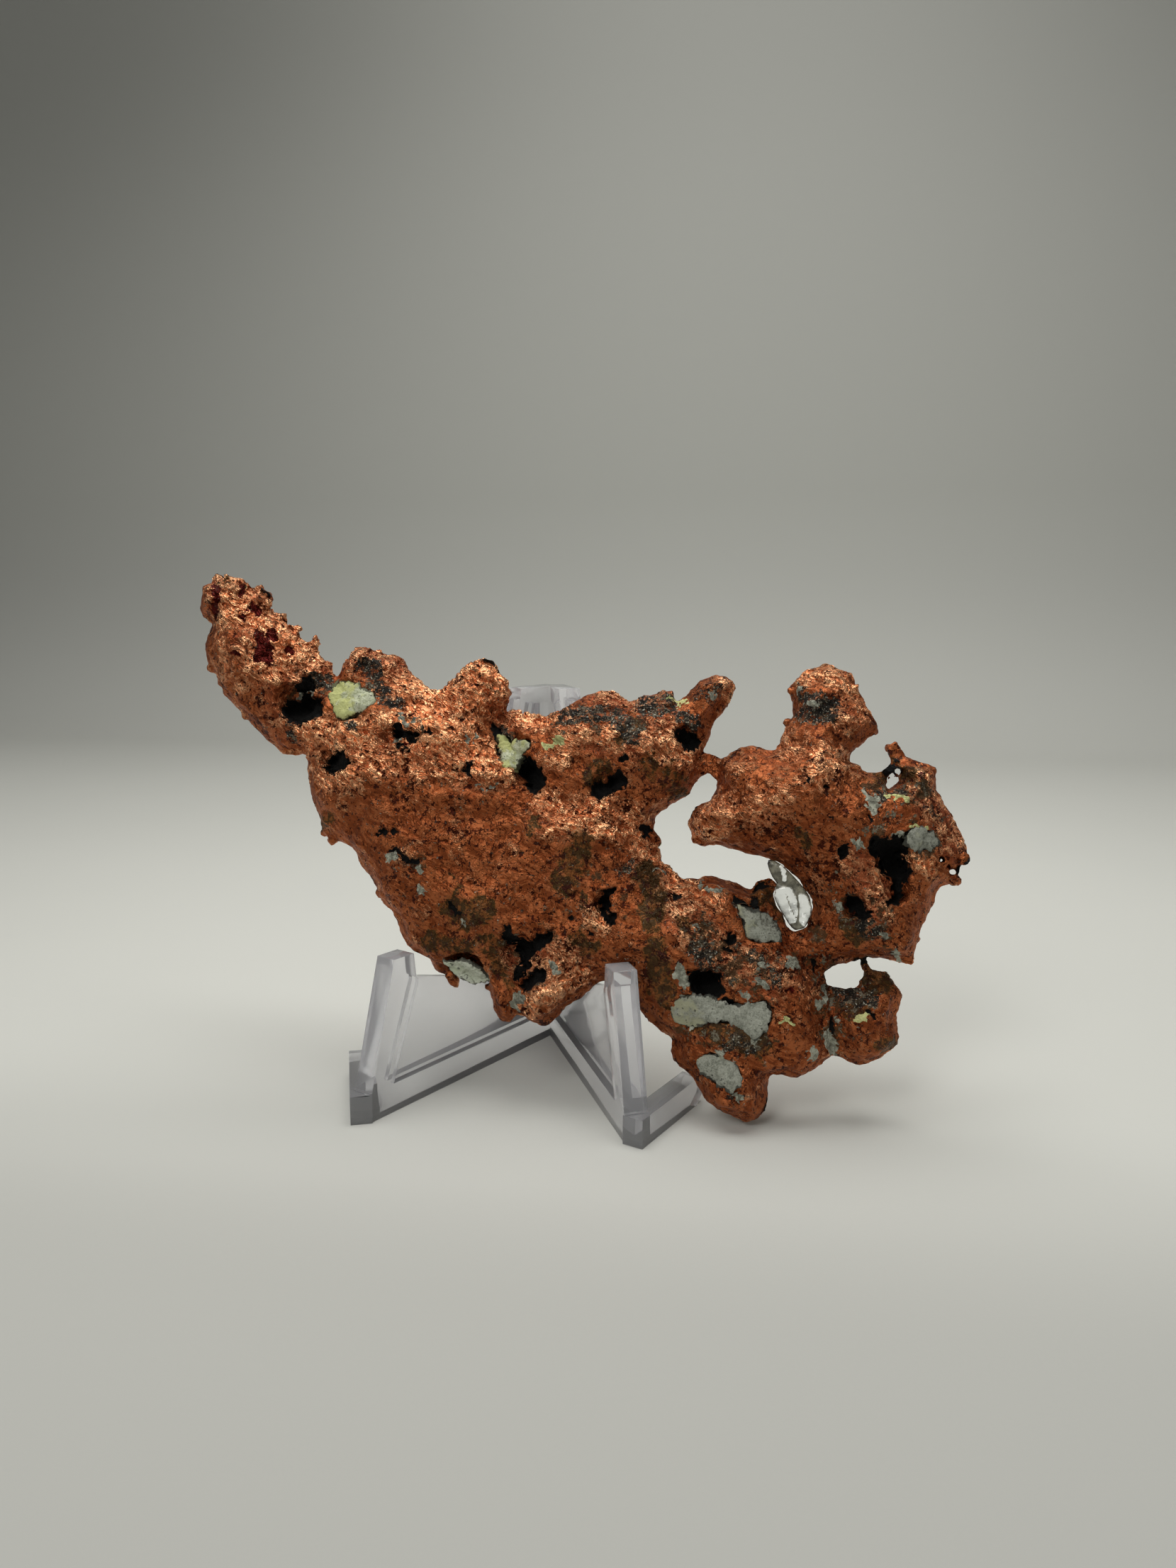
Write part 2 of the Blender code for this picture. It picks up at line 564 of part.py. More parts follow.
def pocket_outline(length):
    """The side of the shallow pocket that leaves only the thin web inside an arm's members."""
    along, up = ledge_end(length)
    front = MEMBER + BAR_HEIGHT * math.tan(LEAN) + 0.3
    rim = EASEL_HEIGHT - TOP_RIM
    return (
        (front, BAR_HEIGHT), (length - MEMBER, BAR_HEIGHT), (length - MEMBER, rim),
        (length - WING_TOP + MEMBER, rim), (along + MEMBER, up + 1.0), (along + 1.0, up + 5.0),
        (LEDGE_FRONT + 0.6, LEDGE_HEIGHT + 4.0), (LEDGE_FRONT + 0.4, LEDGE_HEIGHT - 1.0),
    )


def build_arm(side):
    """One webbed arm, from its front foot to the back fold, with the stub foot behind its lip."""
    length = math.hypot(EASEL_HALF_WIDTH, EASEL_DEPTH)
    inward = math.atan2(EASEL_HALF_WIDTH, EASEL_DEPTH)
    corner = Matrix.Translation((side * EASEL_HALF_WIDTH, 0.0, 0.0))
    arm_place = corner @ Matrix.Rotation(math.pi / 2 + side * inward, 4, "Z")
    stub_place = corner @ Matrix.Rotation(math.pi / 2 - side * STUB_ANGLE, 4, "Z")
    arm = extruded("display_stand", arm_outline(length), MEMBER, arm_place)
    for face in (-1, 1):
        shift = Matrix.Translation((0.0, face * (WEB + MEMBER) / 2, 0.0))
        cut(arm, extruded("pocket", pocket_outline(length), MEMBER, arm_place @ shift))
    cut(arm, extruded("stub", STUB_PROFILE, STUB_THICKNESS, stub_place), "UNION")
    return arm


def build_stand():
    """The easel: two arms that meet at the back fold."""
    stand = build_arm(-1)
    cut(stand, build_arm(1), "UNION")
    return stand


def centre_on_ground():
    """Move everything so that the whole box stands centred on the origin."""
    points = np.array([tuple(v.co) for item in bpy.data.objects for v in item.data.vertices])
    low, high = points.min(axis=0), points.max(axis=0)
    shift = Matrix.Translation((-(low[0] + high[0]) / 2, -(low[1] + high[1]) / 2, -low[2]))
    for item in bpy.data.objects:
        item.data.transform(shift)


def main():
    clear_scene()
    copper = principled("native copper", (0.56, 0.24, 0.14), 0.38, metallic=1.0)
    stone = principled("pale green stone", (0.52, 0.58, 0.47), 0.75)
    clear = principled("clear calcite", (0.95, 0.96, 0.95), 0.04, transmission=1.0, ior=1.58)
    acrylic = principled("clear acrylic", (0.96, 0.97, 0.98), 0.05, transmission=1.0, ior=1.49)
    nugget = build_nugget()
    add_knobs(nugget)
    set_stones(nugget, stone)
    nugget.data.materials.clear()
    nugget.data.materials.append(copper)
    build_calcite().data.materials.append(clear)
    stand = build_stand()
    stand.data.materials.clear()
    stand.data.materials.append(acrylic)
    centre_on_ground()


main()
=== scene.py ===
"""Native copper nugget on a small clear easel: its visible pieces, finishes, light and camera.

The nugget leans back in the easel, so places on it are given on its plate, in millimetres: u along its
length, v up its leaning face, and h forward out of the face. Everything built is in metres.
"""

import logging
import math
from dataclasses import dataclass, field
from enum import Enum

import bpy
import numpy as np
from mathutils import Matrix, Vector, kdtree, noise


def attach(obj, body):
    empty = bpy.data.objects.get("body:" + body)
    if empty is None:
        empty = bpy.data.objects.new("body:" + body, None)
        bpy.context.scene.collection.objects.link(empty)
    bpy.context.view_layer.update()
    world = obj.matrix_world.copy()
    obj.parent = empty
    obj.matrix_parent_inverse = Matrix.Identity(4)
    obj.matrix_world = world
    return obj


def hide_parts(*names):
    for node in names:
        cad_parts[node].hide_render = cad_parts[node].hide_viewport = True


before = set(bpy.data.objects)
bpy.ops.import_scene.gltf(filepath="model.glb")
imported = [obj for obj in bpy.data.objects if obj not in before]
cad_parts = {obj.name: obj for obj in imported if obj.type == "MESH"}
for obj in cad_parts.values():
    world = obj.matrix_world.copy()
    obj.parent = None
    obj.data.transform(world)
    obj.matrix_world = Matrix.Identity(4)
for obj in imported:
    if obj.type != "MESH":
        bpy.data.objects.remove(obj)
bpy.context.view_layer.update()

BODY = "root"
MM = 0.001
MERGE_REACH = 0.001 * MM
# The same seed starts Blender's noise and the scattered marks, so that every run gives the same nugget.
NOISE_SEED = 29

log = logging.getLogger("copper_nugget")

Colour = tuple[float, float, float]
Place = tuple[float, float, float]
Spot = tuple[float, float]


# Blender helpers


def select_only(obj: bpy.types.Object) -> None:
    """Select one object alone and make it active.

    Args:
        obj: The object.
    """
    bpy.ops.object.select_all(action="DESELECT")
    obj.select_set(True)
    bpy.context.view_layer.objects.active = obj


def apply_modifier(obj: bpy.types.Object, kind: str, **settings: object) -> None:
    """Add a modifier to an object and apply it.

    Args:
        obj: The object to change.
        kind: The modifier's type.
        settings: The modifier's properties.
    """
    select_only(obj)
    bpy.ops.object.modifier_add(type=kind)
    modifier = obj.modifiers[-1]
    for name, value in settings.items():
        setattr(modifier, name, value)
    bpy.ops.object.modifier_apply(modifier=modifier.name)


def merged_copy(node: str, name: str) -> bpy.types.Object:
    """Copy a CAD node's mesh as a new object with its corners merged.

    Args:
        node: The CAD node.
        name: The new object's name.

    Returns:
        The new object.
    """
    obj = bpy.data.objects.new(name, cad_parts[node].data.copy())
    obj.data.name = name
    bpy.context.scene.collection.objects.link(obj)
    select_only(obj)
    bpy.ops.object.mode_set(mode="EDIT")
    bpy.ops.mesh.select_all(action="SELECT")
    bpy.ops.mesh.remove_doubles(threshold=MERGE_REACH)
    bpy.ops.object.mode_set(mode="OBJECT")
    obj.data.materials.clear()
    return obj


def remeshed_copy(node: str, name: str, voxel: float) -> bpy.types.Object:
    """Copy a CAD node's mesh as a new object in small even faces.

    Args:
        node: The CAD node.
        name: The new object's name.
        voxel: The faces' size in millimetres.

    Returns:
        The new object.
    """
    obj = merged_copy(node, name)
    apply_modifier(obj, "REMESH", mode="VOXEL", voxel_size=voxel * MM)
    return obj


def finish_piece(obj: bpy.types.Object, material: bpy.types.Material, node: str) -> None:
    """Give a piece its material and slot, let it ride on the body, and stand it for its CAD node.

    Args:
        obj: The piece.
        material: Its material.
        node: The CAD node that it replaces.
    """
    obj.data.materials.clear()
    obj.data.materials.append(material)
    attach(obj, BODY)
    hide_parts(node)
    log.info("%s: %d faces", obj.name, len(obj.data.polygons))


def vertex_rows(obj: bpy.types.Object, vector: str) -> np.ndarray:
    """One vector of each vertex of a mesh.

    Args:
        obj: The mesh object.
        vector: "co" for the vertex's place in metres, "normal" for the way it faces.

    Returns:
        Rows of x, y, z.
    """
    rows = np.empty(len(obj.data.vertices) * 3, np.float32)
    obj.data.vertices.foreach_get(vector, rows)
    return rows.reshape(-1, 3).astype(float)


def set_vertex_places(obj: bpy.types.Object, places: np.ndarray) -> None:
    """Move a mesh's vertices to new positions."""
    obj.data.vertices.foreach_set("co", places.astype(np.float32).reshape(-1))
    obj.data.update()


def store(obj: bpy.types.Object, name: str, values: np.ndarray) -> None:
    """Keep one number per vertex, from 0 to 1, as an attribute for the material."""
    layer = obj.data.attributes.new(name, "FLOAT", "POINT")
    layer.data.foreach_set("value", np.clip(values, 0.0, 1.0).astype(np.float32))


# Noise and painted places


def eased(low: float, high: float, values: np.ndarray) -> np.ndarray:
    """A smooth step from 0 at low to 1 at high."""
    share = np.clip((values - low) / (high - low), 0.0, 1.0)
    return share * share * (3.0 - 2.0 * share)


def cloud(points: np.ndarray, scale: float, seed: float, octaves: int) -> np.ndarray:
    """Fractal noise, about -1 to 1, at millimetre points.

    Args:
        points: Rows of x, y, z.
        scale: Waves in a millimetre.
        seed: Shifts the pattern.
        octaves: How many sizes of wave are added.

    Returns:
        One number for each point.
    """
    shift = Vector((seed, -seed, 0.5 * seed))
    return np.array([noise.fractal(Vector(p) * scale + shift, 0.8, 2.0, octaves) for p in points])


def knobs(points: np.ndarray, scale: float, seed: float, octaves: int) -> np.ndarray:
    """Rounded bumps with creases between them, 0 to about 1, at millimetre points."""
    shift = Vector((seed, -seed, 0.5 * seed))
    return np.array([noise.turbulence(Vector(p) * scale + shift, octaves, True) for p in points])


def shaken(points: np.ndarray, scale: float, reach: float) -> np.ndarray:
    """Small shifts in all directions, up to this reach in millimetres, at millimetre points."""
    return reach * np.array([noise.noise_vector(Vector(p) * scale) for p in points])


def crests(obj: bpy.types.Object, rounds: int = 5, full: float = 0.10) -> np.ndarray:
    """How far each vertex stands out of its smoothed surroundings: 1 on crests, -1 in creases.

    Args:
        obj: The mesh object.
        rounds: How often the surroundings are smoothed.
        full: The height, in millimetres, that counts as a whole crest.

    Returns:
        One number for each vertex.
    """
    places, normals = vertex_rows(obj, "co") / MM, vertex_rows(obj, "normal")
    ends = np.empty(len(obj.data.edges) * 2, dtype=np.int32)
    obj.data.edges.foreach_get("vertices", ends)
    here, there = ends.reshape(-1, 2).T
    froms, tos = np.concatenate([here, there]), np.concatenate([there, here])
    count = np.maximum(np.bincount(froms, minlength=len(places)), 1)
    smooth = places.copy()
    for _ in range(rounds):
        sums = [np.bincount(froms, smooth[tos, axis], len(places)) for axis in range(3)]
        smooth = np.stack(sums, axis=1) / count[:, None]
    return np.clip(np.sum((places - smooth) * normals, axis=1) / full, -1.0, 1.0)


@dataclass(frozen=True)
class Plate:
    """The leaning plane of the nugget, in the model's frame (sizes in millimetres)."""

    lean: float = math.radians(15.0)
    shift_u: float = 4.80
    shift_y: float = 12.8
    shift_z: float = 0.15

    def on_plate(self, places: np.ndarray) -> np.ndarray:
        """Find places on the plate.

        Args:
            places: Rows of x, y, z in the frame, in metres.

        Returns:
            Rows of u, v, h.
        """
        x, y, z = (places / MM).T
        y, z = y + self.shift_y, z - self.shift_z
        sine, cosine = math.sin(self.lean), math.cos(self.lean)
        return np.stack([x + self.shift_u, y * sine + z * cosine, z * sine - y * cosine], axis=1)

    def in_frame(self, u: float, v: float, h: float) -> Vector:
        """Find a place of the plate in the frame.

        Args:
            u: Along the plate's length.
            v: Up its face.
            h: Forward out of its face.

        Returns:
            The place in the frame, in metres.
        """
        sine, cosine = math.sin(self.lean), math.cos(self.lean)
        y = v * sine - h * cosine - self.shift_y
        z = v * cosine + h * sine + self.shift_z
        return Vector((u - self.shift_u, y, z)) * MM

    def sighted(self, plate: np.ndarray, eye: np.ndarray) -> np.ndarray:
        """The spots of the plate's middle plane that lie behind raised places, seen from an eye.

        Args:
            plate: Rows of u, v, h.
            eye: The eye's own u, v, h.

        Returns:
            Rows of u, v.
        """
        share = eye[2] / (eye[2] - plate[:, 2:])
        return eye[:2] + (plate[:, :2] - eye[:2]) * share

    @property
    def forward(self) -> np.ndarray:
        """The unit direction out of the face."""
        return np.array([0.0, -math.cos(self.lean), math.sin(self.lean)])

    def parted(self, directions: np.ndarray) -> tuple[np.ndarray, np.ndarray]:
        """Part directions in two.

        Args:
            directions: Rows of unit directions.

        Returns:
            How far each points out of the face, and what is left of it along the face.
        """
        ahead = directions @ self.forward
        return ahead, directions - ahead[:, None] * self.forward


PLATE = Plate()
# The marks on the front are laid out as seen from here.
EYE = Vector((40.3, -192.4, 85.0)) * MM


@dataclass(frozen=True)
class Stroke:
    """A painted mark on the plate: a path with a radius, in millimetres, and how strong it is."""

    radius: float
    path: tuple[Spot, ...]
    amount: float = 1.0

    def nearness(self, spots: np.ndarray) -> np.ndarray:
        """How far each spot is from the path.

        Args:
            spots: Rows of u, v.

        Returns:
            A distance in radii for each spot.
        """
        path = np.array(self.path, float)
        ends = list(zip(path[:-1], path[1:])) or [(path[0], path[0] + 1e-6)]
        nearest = np.full(len(spots), np.inf)
        for start, end in ends:
            run = end - start
            share = np.clip((spots - start) @ run / (run @ run), 0.0, 1.0)
            nearest = np.minimum(nearest, np.linalg.norm(spots - start - share[:, None] * run, axis=1))
        return nearest / self.radius


def painted(spots: np.ndarray, strokes: tuple[Stroke, ...], soft: float) -> np.ndarray:
    """How strongly the strokes cover each spot.

    Args:
        spots: Rows of u, v.
        strokes: The marks.
        soft: Half the width of a mark's edge, as a share of its radius.

    Returns:
        One number from 0 to 1 for each spot.
    """
    total = np.zeros(len(spots))
    for stroke in strokes:
        path = np.array(stroke.path)
        reach = stroke.radius * (1.0 + soft)
        near = np.all((spots > path.min(axis=0) - reach) & (spots < path.max(axis=0) + reach), axis=1)
        cover = stroke.amount * eased(1.0 + soft, 1.0 - soft, stroke.nearness(spots[near]))
        total[near] = np.maximum(total[near], cover)
    return total


class Mark(Enum):
    """What a painted mark is; the value is the attribute's name."""

    # The hollow attribute holds how black a hollow is painted by its depth, as painted shade.
    HOLLOW = "hollow"
    ASH_STONE = "ash_stone"
    LIME_STONE = "lime_stone"
    CRUST = "crust"
    STAIN = "stain"
    RED_PIT = "red_pit"
    BURNISH = "burnish"
    GRAIN = "grain"
    MIXED = "mixed_rock"


def strokes(*rows: tuple) -> tuple[Stroke, ...]:
    """Strokes from rows of a radius, an amount and the spots of the path."""
    return tuple(Stroke(radius, tuple(path), amount) for radius, amount, *path in rows)


# Marks on the nugget's front: radius, amount, then the path. A hollow's amount is its depth in millimetres.
HOLLOWS = strokes(
    (1.9, 3.0, (-45.4, 67.4), (-43.0, 68.3), (-41.4, 68.6)), (1.2, 2.6, (-44.2, 66.3), (-42.6, 66.7)),
    (1.1, 1.6, (-43.9, 72.0), (-42.2, 72.6)), (1.0, 2.2, (-34.6, 59.1), (-36.2, 58.5), (-36.9, 57.1)),
    (0.8, 1.8, (-35.8, 57.2), (-34.8, 58.0)), (0.85, 2.0, (-25.0, 63.9), (-23.4, 64.2), (-22.0, 63.5)),
    (0.5, 1.0, (-24.2, 61.4), (-22.6, 60.7)), (0.6, 0.9, (-19.1, 64.4), (-18.2, 64.5)),
    (0.5, 1.0, (-10.5, 59.0), (-10.9, 57.6), (-10.6, 56.4)),
    (0.8, 1.4, (-6.8, 64.8), (-5.6, 63.2), (-4.6, 61.4)),
    (0.7, 1.2, (-4.2, 60.6), (-3.4, 58.9), (-2.2, 59.6)), (1.6, 3.0, (-0.7, 58.8), (0.7, 57.5), (1.2, 56.0)),
    (0.7, 1.2, (1.3, 55.2), (1.8, 54.2)), (1.25, 2.6, (15.7, 56.8), (16.0, 55.8)),
    (0.95, 1.8, (12.3, 54.7), (13.4, 54.3), (14.8, 54.9)), (0.8, 1.0, (16.8, 60.5), (17.2, 60.2)),
    (1.2, 2.4, (27.0, 64.2), (28.6, 63.5)),
    (0.75, 2.0, (16.0, 36.9), (14.6, 36.5), (14.8, 34.8), (14.6, 33.3), (15.9, 32.6)),
    (0.9, 1.8, (-2.7, 29.3), (-1.7, 28.0)), (1.1, 2.4, (4.2, 28.7), (2.8, 27.4), (1.4, 26.2), (0.4, 26.9)),
    (0.9, 2.0, (0.8, 25.4), (1.0, 24.0)), (0.7, 1.2, (0.0, 22.9), (0.3, 22.1)),
    (0.85, 1.8, (3.7, 22.1), (2.2, 21.0), (1.1, 19.9)), (1.5, 2.8, (31.0, 23.1), (33.6, 23.0)),
    (1.1, 2.4, (31.8, 21.4), (34.2, 21.2)), (0.45, 0.9, (35.6, 21.8), (35.9, 21.0)),
    (0.4, 0.8, (35.6, 19.3), (37.1, 19.0)), (1.3, 2.8, (60.3, 46.5), (62.4, 46.2), (64.0, 46.7)),
    (1.7, 3.2, (62.3, 44.4), (63.4, 42.6)), (1.3, 2.8, (63.6, 41.6), (63.5, 40.2)),
    (0.8, 2.0, (63.9, 38.8), (62.8, 37.2)), (0.95, 2.0, (56.1, 37.2), (57.4, 36.2), (58.6, 35.2)),
    (0.7, 1.3, (53.8, 45.9), (54.9, 46.2), (54.4, 44.8)), (0.6, 1.6, (51.9, 56.0)),
    (0.24, 0.7, (47.7, 59.2), (48.5, 56.4)), (0.2, 0.5, (47.2, 57.7), (48.0, 56.3)),
    (0.16, 0.4, (50.1, 57.1), (50.1, 56.2)), (0.65, 0.8, (-26.9, 45.5), (-26.4, 45.7)),
    (0.6, 0.8, (-24.3, 45.6), (-23.9, 46.1)), (0.4, 0.6, (-12.7, 52.2), (-12.2, 52.0)),
    (0.5, 1.0, (20.9, 48.2), (21.7, 46.6)), (0.5, 0.8, (27.3, 37.0), (27.0, 36.6)),
    (0.65, 1.2, (35.7, 30.0), (37.3, 30.5)), (0.45, 0.8, (35.6, 28.1), (36.5, 27.8)),
    (0.4, 0.8, (37.3, 36.4), (38.8, 35.9), (40.3, 35.6)), (0.8, 1.2, (41.0, 39.4), (43.2, 39.9)),
    (0.5, 0.8, (42.9, 19.2), (43.5, 18.8)), (0.5, 0.8, (-13.4, 33.4), (-12.2, 32.0), (-10.7, 31.7)),
    (0.5, 0.7, (-24.2, 43.0), (-22.2, 42.1), (-20.9, 41.2), (-19.6, 40.9)),
    (0.5, 0.8, (59.4, 19.1), (59.7, 18.6)), (0.7, 1.0, (39.6, 36.4), (40.4, 36.0)),
    (0.28, 0.5, (36.9, 3.3), (36.7, 4.3), (37.5, 5.0), (38.4, 4.5), (38.6, 3.5)),
    (0.45, 0.8, (42.6, 34.0), (43.0, 33.6)), (0.4, 0.6, (12.2, 29.8), (12.7, 29.1)),
    (0.35, 0.5, (-14.6, 44.2), (-14.2, 43.8)), (0.45, 0.5, (-9.6, 37.6), (-9.2, 36.8)),
    (0.4, 0.6, (52.8, 51.0), (53.4, 50.6)), (0.35, 0.5, (45.6, 49.0), (46.0, 48.6)),
    (0.42, 0.7, (58.4, 51.6), (58.9, 51.0)), (0.3, 0.5, (6.1, 32.6), (6.6, 31.8)),
    (0.45, 0.7, (9.0, 32.4), (9.3, 31.7)),
    (0.35, 0.4, (37.0, 4.6), (38.0, 5.0), (39.1, 4.4), (39.0, 3.3), (37.6, 2.9), (36.8, 3.7)),
    (0.4, 0.8, (50.4, 26.0), (49.8, 27.6)), (0.5, 1.0, (53.2, 17.0), (53.6, 15.4)),
    (0.35, 0.6, (28.2, 19.0), (28.0, 16.8)),
)
ASH_STONES = strokes(
    (0.6, 1.0, (-44.0, 70.9), (-42.4, 71.6)), (0.65, 0.8, (-24.6, 62.6), (-24.1, 62.9)),
    (0.7, 0.8, (-24.0, 66.6), (-21.4, 65.7)), (0.55, 0.9, (-10.8, 63.1), (-10.5, 63.2)),
    (0.2, 1.0, (-9.7, 54.9), (-7.7, 54.2), (-5.3, 54.5)), (0.95, 1.0, (-24.5, 41.6), (-24.0, 41.5)),
    (0.7, 0.9, (-19.3, 39.9), (-18.7, 39.2)), (0.75, 0.9, (-18.3, 35.9), (-18.2, 35.3)),
    (0.35, 0.7, (-10.3, 30.8), (-10.2, 30.2)), (0.8, 1.0, (6.0, 24.5), (6.9, 23.2)),
    (0.8, 1.0, (0.1, 17.8), (0.0, 16.6)), (1.0, 1.0, (28.4, 24.0), (28.7, 22.5)),
    (0.5, 1.0, (28.3, 20.5), (29.8, 20.1)), (0.6, 0.9, (29.3, 16.9), (30.6, 15.0)),
    (0.6, 0.9, (46.2, 26.6), (47.6, 26.1)), (0.6, 0.7, (42.0, 26.2), (42.7, 25.9)),
    (0.65, 0.8, (41.2, 23.8), (42.2, 22.8), (43.2, 21.8)), (0.65, 0.8, (38.5, 20.8), (39.1, 20.6)),
    (0.8, 0.8, (35.2, 11.2), (35.8, 10.2)), (0.5, 0.7, (40.8, 13.7), (41.3, 12.5)),
    (0.85, 0.75, (50.5, 12.6), (50.6, 11.4)), (0.7, 0.9, (53.0, 15.0), (53.6, 13.0)),
    (0.5, 0.9, (51.5, 19.4), (52.1, 22.8)), (0.4, 0.9, (54.2, 17.8), (54.4, 17.4)),
    (0.75, 0.9, (38.1, 3.9), (38.6, 3.6)), (0.85, 0.9, (57.0, 47.3), (57.4, 46.8)),
    (0.7, 1.0, (63.6, 48.2), (64.4, 48.4)), (0.35, 0.8, (62.2, 42.7), (62.6, 42.4)),
    (0.8, 0.7, (53.6, 37.2), (54.0, 36.4)), (0.65, 0.9, (61.2, 32.0), (61.7, 31.6)),
    (0.7, 0.9, (63.4, 29.2), (63.7, 28.6)), (0.6, 0.9, (58.0, 56.0), (58.9, 54.6)),
    (0.8, 0.9, (59.3, 53.9), (59.7, 52.5)), (0.5, 0.8, (31.7, 72.2), (32.2, 71.8)),
    (0.5, 0.9, (46.4, 72.0), (46.9, 72.6)), (0.6, 0.7, (48.6, 70.1), (49.5, 70.4)),
    (0.3, 0.9, (31.0, 38.9), (32.8, 38.8), (34.2, 38.0)),
    (0.4, 0.7, (22.6, 40.9), (24.2, 41.2), (24.9, 40.2)), (0.5, 0.6, (31.0, 31.8), (31.3, 31.2)),
    (0.4, 0.6, (-5.4, 22.6), (-5.2, 20.6)),
)
LIME_STONES = strokes(
    (0.8, 1.0, (4.6, 63.4), (5.3, 63.6)), (0.32, 1.0, (1.4, 62.4), (3.2, 61.6), (4.7, 62.4)),
    (0.75, 1.0, (-3.0, 58.3), (-2.2, 57.6)), (0.4, 1.0, (61.6, 55.0), (63.0, 54.6), (64.7, 54.8)),
    (0.55, 1.0, (57.6, 17.8), (58.7, 18.9)), (0.4, 1.0, (45.2, 16.9), (46.7, 16.1)),
    (0.45, 0.8, (66.6, 49.9), (67.2, 49.6)), (0.5, 0.7, (24.9, 70.7), (27.0, 70.2)),
    (0.5, 0.6, (-56.2, 91.0), (-55.8, 90.7)), (0.4, 0.5, (26.9, 71.4), (28.0, 72.4)),
)
CRUSTS = strokes(
    (1.5, 1.0, (6.2, 67.3), (9.2, 67.6), (12.4, 68.4), (14.8, 67.8), (17.0, 66.0), (18.4, 64.0)),
    (1.7, 1.0, (20.4, 69.4), (23.0, 69.4), (24.6, 70.6)), (1.2, 1.0, (26.6, 67.9), (28.8, 66.4)),
    (1.3, 0.6, (30.4, 71.4), (32.6, 72.8)), (1.2, 0.8, (47.2, 72.2), (48.6, 70.6), (51.0, 71.4)),
    (1.4, 1.0, (47.6, 68.2), (49.8, 68.0), (52.4, 69.6)),
    (1.45, 1.0, (-31.8, 76.4), (-30.0, 76.0), (-28.8, 74.6), (-29.8, 73.0), (-27.2, 71.4)),
    (1.4, 1.0, (-41.2, 73.2), (-38.6, 72.8), (-36.7, 71.8)),
    (0.9, 1.0, (-36.8, 70.4), (-35.2, 67.4), (-33.2, 65.2)), (0.9, 1.0, (-27.4, 69.8), (-24.6, 69.3)),
    (0.8, 0.7, (-45.4, 64.6), (-44.2, 62.2)), (1.9, 0.8, (31.2, 27.6), (32.0, 26.6)),
    (1.4, 0.8, (58.2, 33.5), (60.5, 32.3)), (1.2, 1.0, (55.0, 21.6), (57.4, 21.5), (59.8, 21.3)),
    (1.0, 0.8, (38.5, 33.8), (37.6, 35.4)), (1.1, 0.7, (36.4, 12.6), (38.0, 13.6), (40.4, 11.6)),
    (0.8, 0.5, (44.4, 22.8), (43.6, 24.6)), (0.9, 0.6, (16.6, 40.8), (19.4, 41.6)),
    (1.0, 1.0, (-5.4, 65.2), (-3.8, 62.6), (-1.6, 59.6)), (0.9, 0.8, (60.4, 54.6), (64.6, 55.6)),
    (1.0, 0.8, (38.0, 4.0)), (0.7, 0.5, (68.6, 52.6), (70.6, 51.6)), (0.9, 0.5, (39.8, 27.6), (44.2, 25.2)),
)
STAINS = strokes(
    (2.3, 1.0, (-12.6, 32.6), (-9.6, 31.8), (-6.8, 32.6)), (2.6, 0.7, (9.4, 44.4), (8.6, 41.4), (7.2, 38.4)),
    (2.4, 0.8, (21.8, 40.2), (23.6, 36.4), (23.2, 32.4)),
    (2.1, 1.15, (32.6, 15.6), (37.2, 14.3), (41.8, 12.4)),
    (2.2, 1.0, (23.6, 27.4), (24.6, 24.0), (25.4, 20.4)),
    (3.0, 0.6, (22.5, 58.2), (26.4, 57.2), (27.6, 54.8)),
    (1.7, 0.8, (12.8, 58.8), (11.4, 57.0), (12.0, 55.6)),
    (1.8, 0.7, (-16.4, 26.6), (-9.4, 26.2), (-4.0, 27.6)), (1.6, 0.7, (56.0, 33.4), (57.8, 31.2)),
    (1.4, 0.6, (-61.2, 92.0), (-58.2, 91.2)), (1.0, 0.8, (8.2, 46.0), (11.8, 45.7)),
    (1.0, 0.7, (48.6, 46.9), (47.2, 48.6)), (1.5, 1.0, (56.3, 19.3), (57.8, 20.2)),
    (1.1, 1.0, (61.2, 13.8), (63.6, 14.4)), (1.3, 0.7, (-4.6, 24.8), (-2.8, 22.8), (-1.4, 20.4)),
    (1.6, 0.7, (10.4, 28.0), (12.4, 26.8)), (1.4, 0.6, (1.2, 48.6), (1.4, 46.2)),
    (1.1, 0.7, (29.4, 30.6), (27.4, 33.4)), (1.3, 0.5, (37.4, 24.0), (40.0, 21.6)),
    (0.7, 1.0, (-11.4, 36.3), (-11.8, 36.1)), (0.5, 1.0, (-13.0, 38.6), (-12.8, 38.2)),
    (1.3, 0.8, (41.0, 37.6), (44.6, 36.6), (46.0, 33.2)), (1.0, 0.8, (16.2, 63.4), (19.2, 66.8)),
    (1.5, 0.6, (59.4, 57.4), (62.0, 60.0), (67.4, 56.0)), (0.9, 0.7, (-37.8, 46.4), (-36.4, 48.4)),
    (0.8, 1.0, (10.8, 35.8), (11.2, 34.9)), (1.1, 0.5, (32.4, 33.8), (30.2, 34.8)),
    (1.3, 1.3, (58.4, 27.2), (59.4, 25.4), (61.0, 25.2), (62.2, 24.2), (59.4, 23.2)),
    (1.0, 1.2, (40.8, 39.4), (43.0, 39.8)),
)
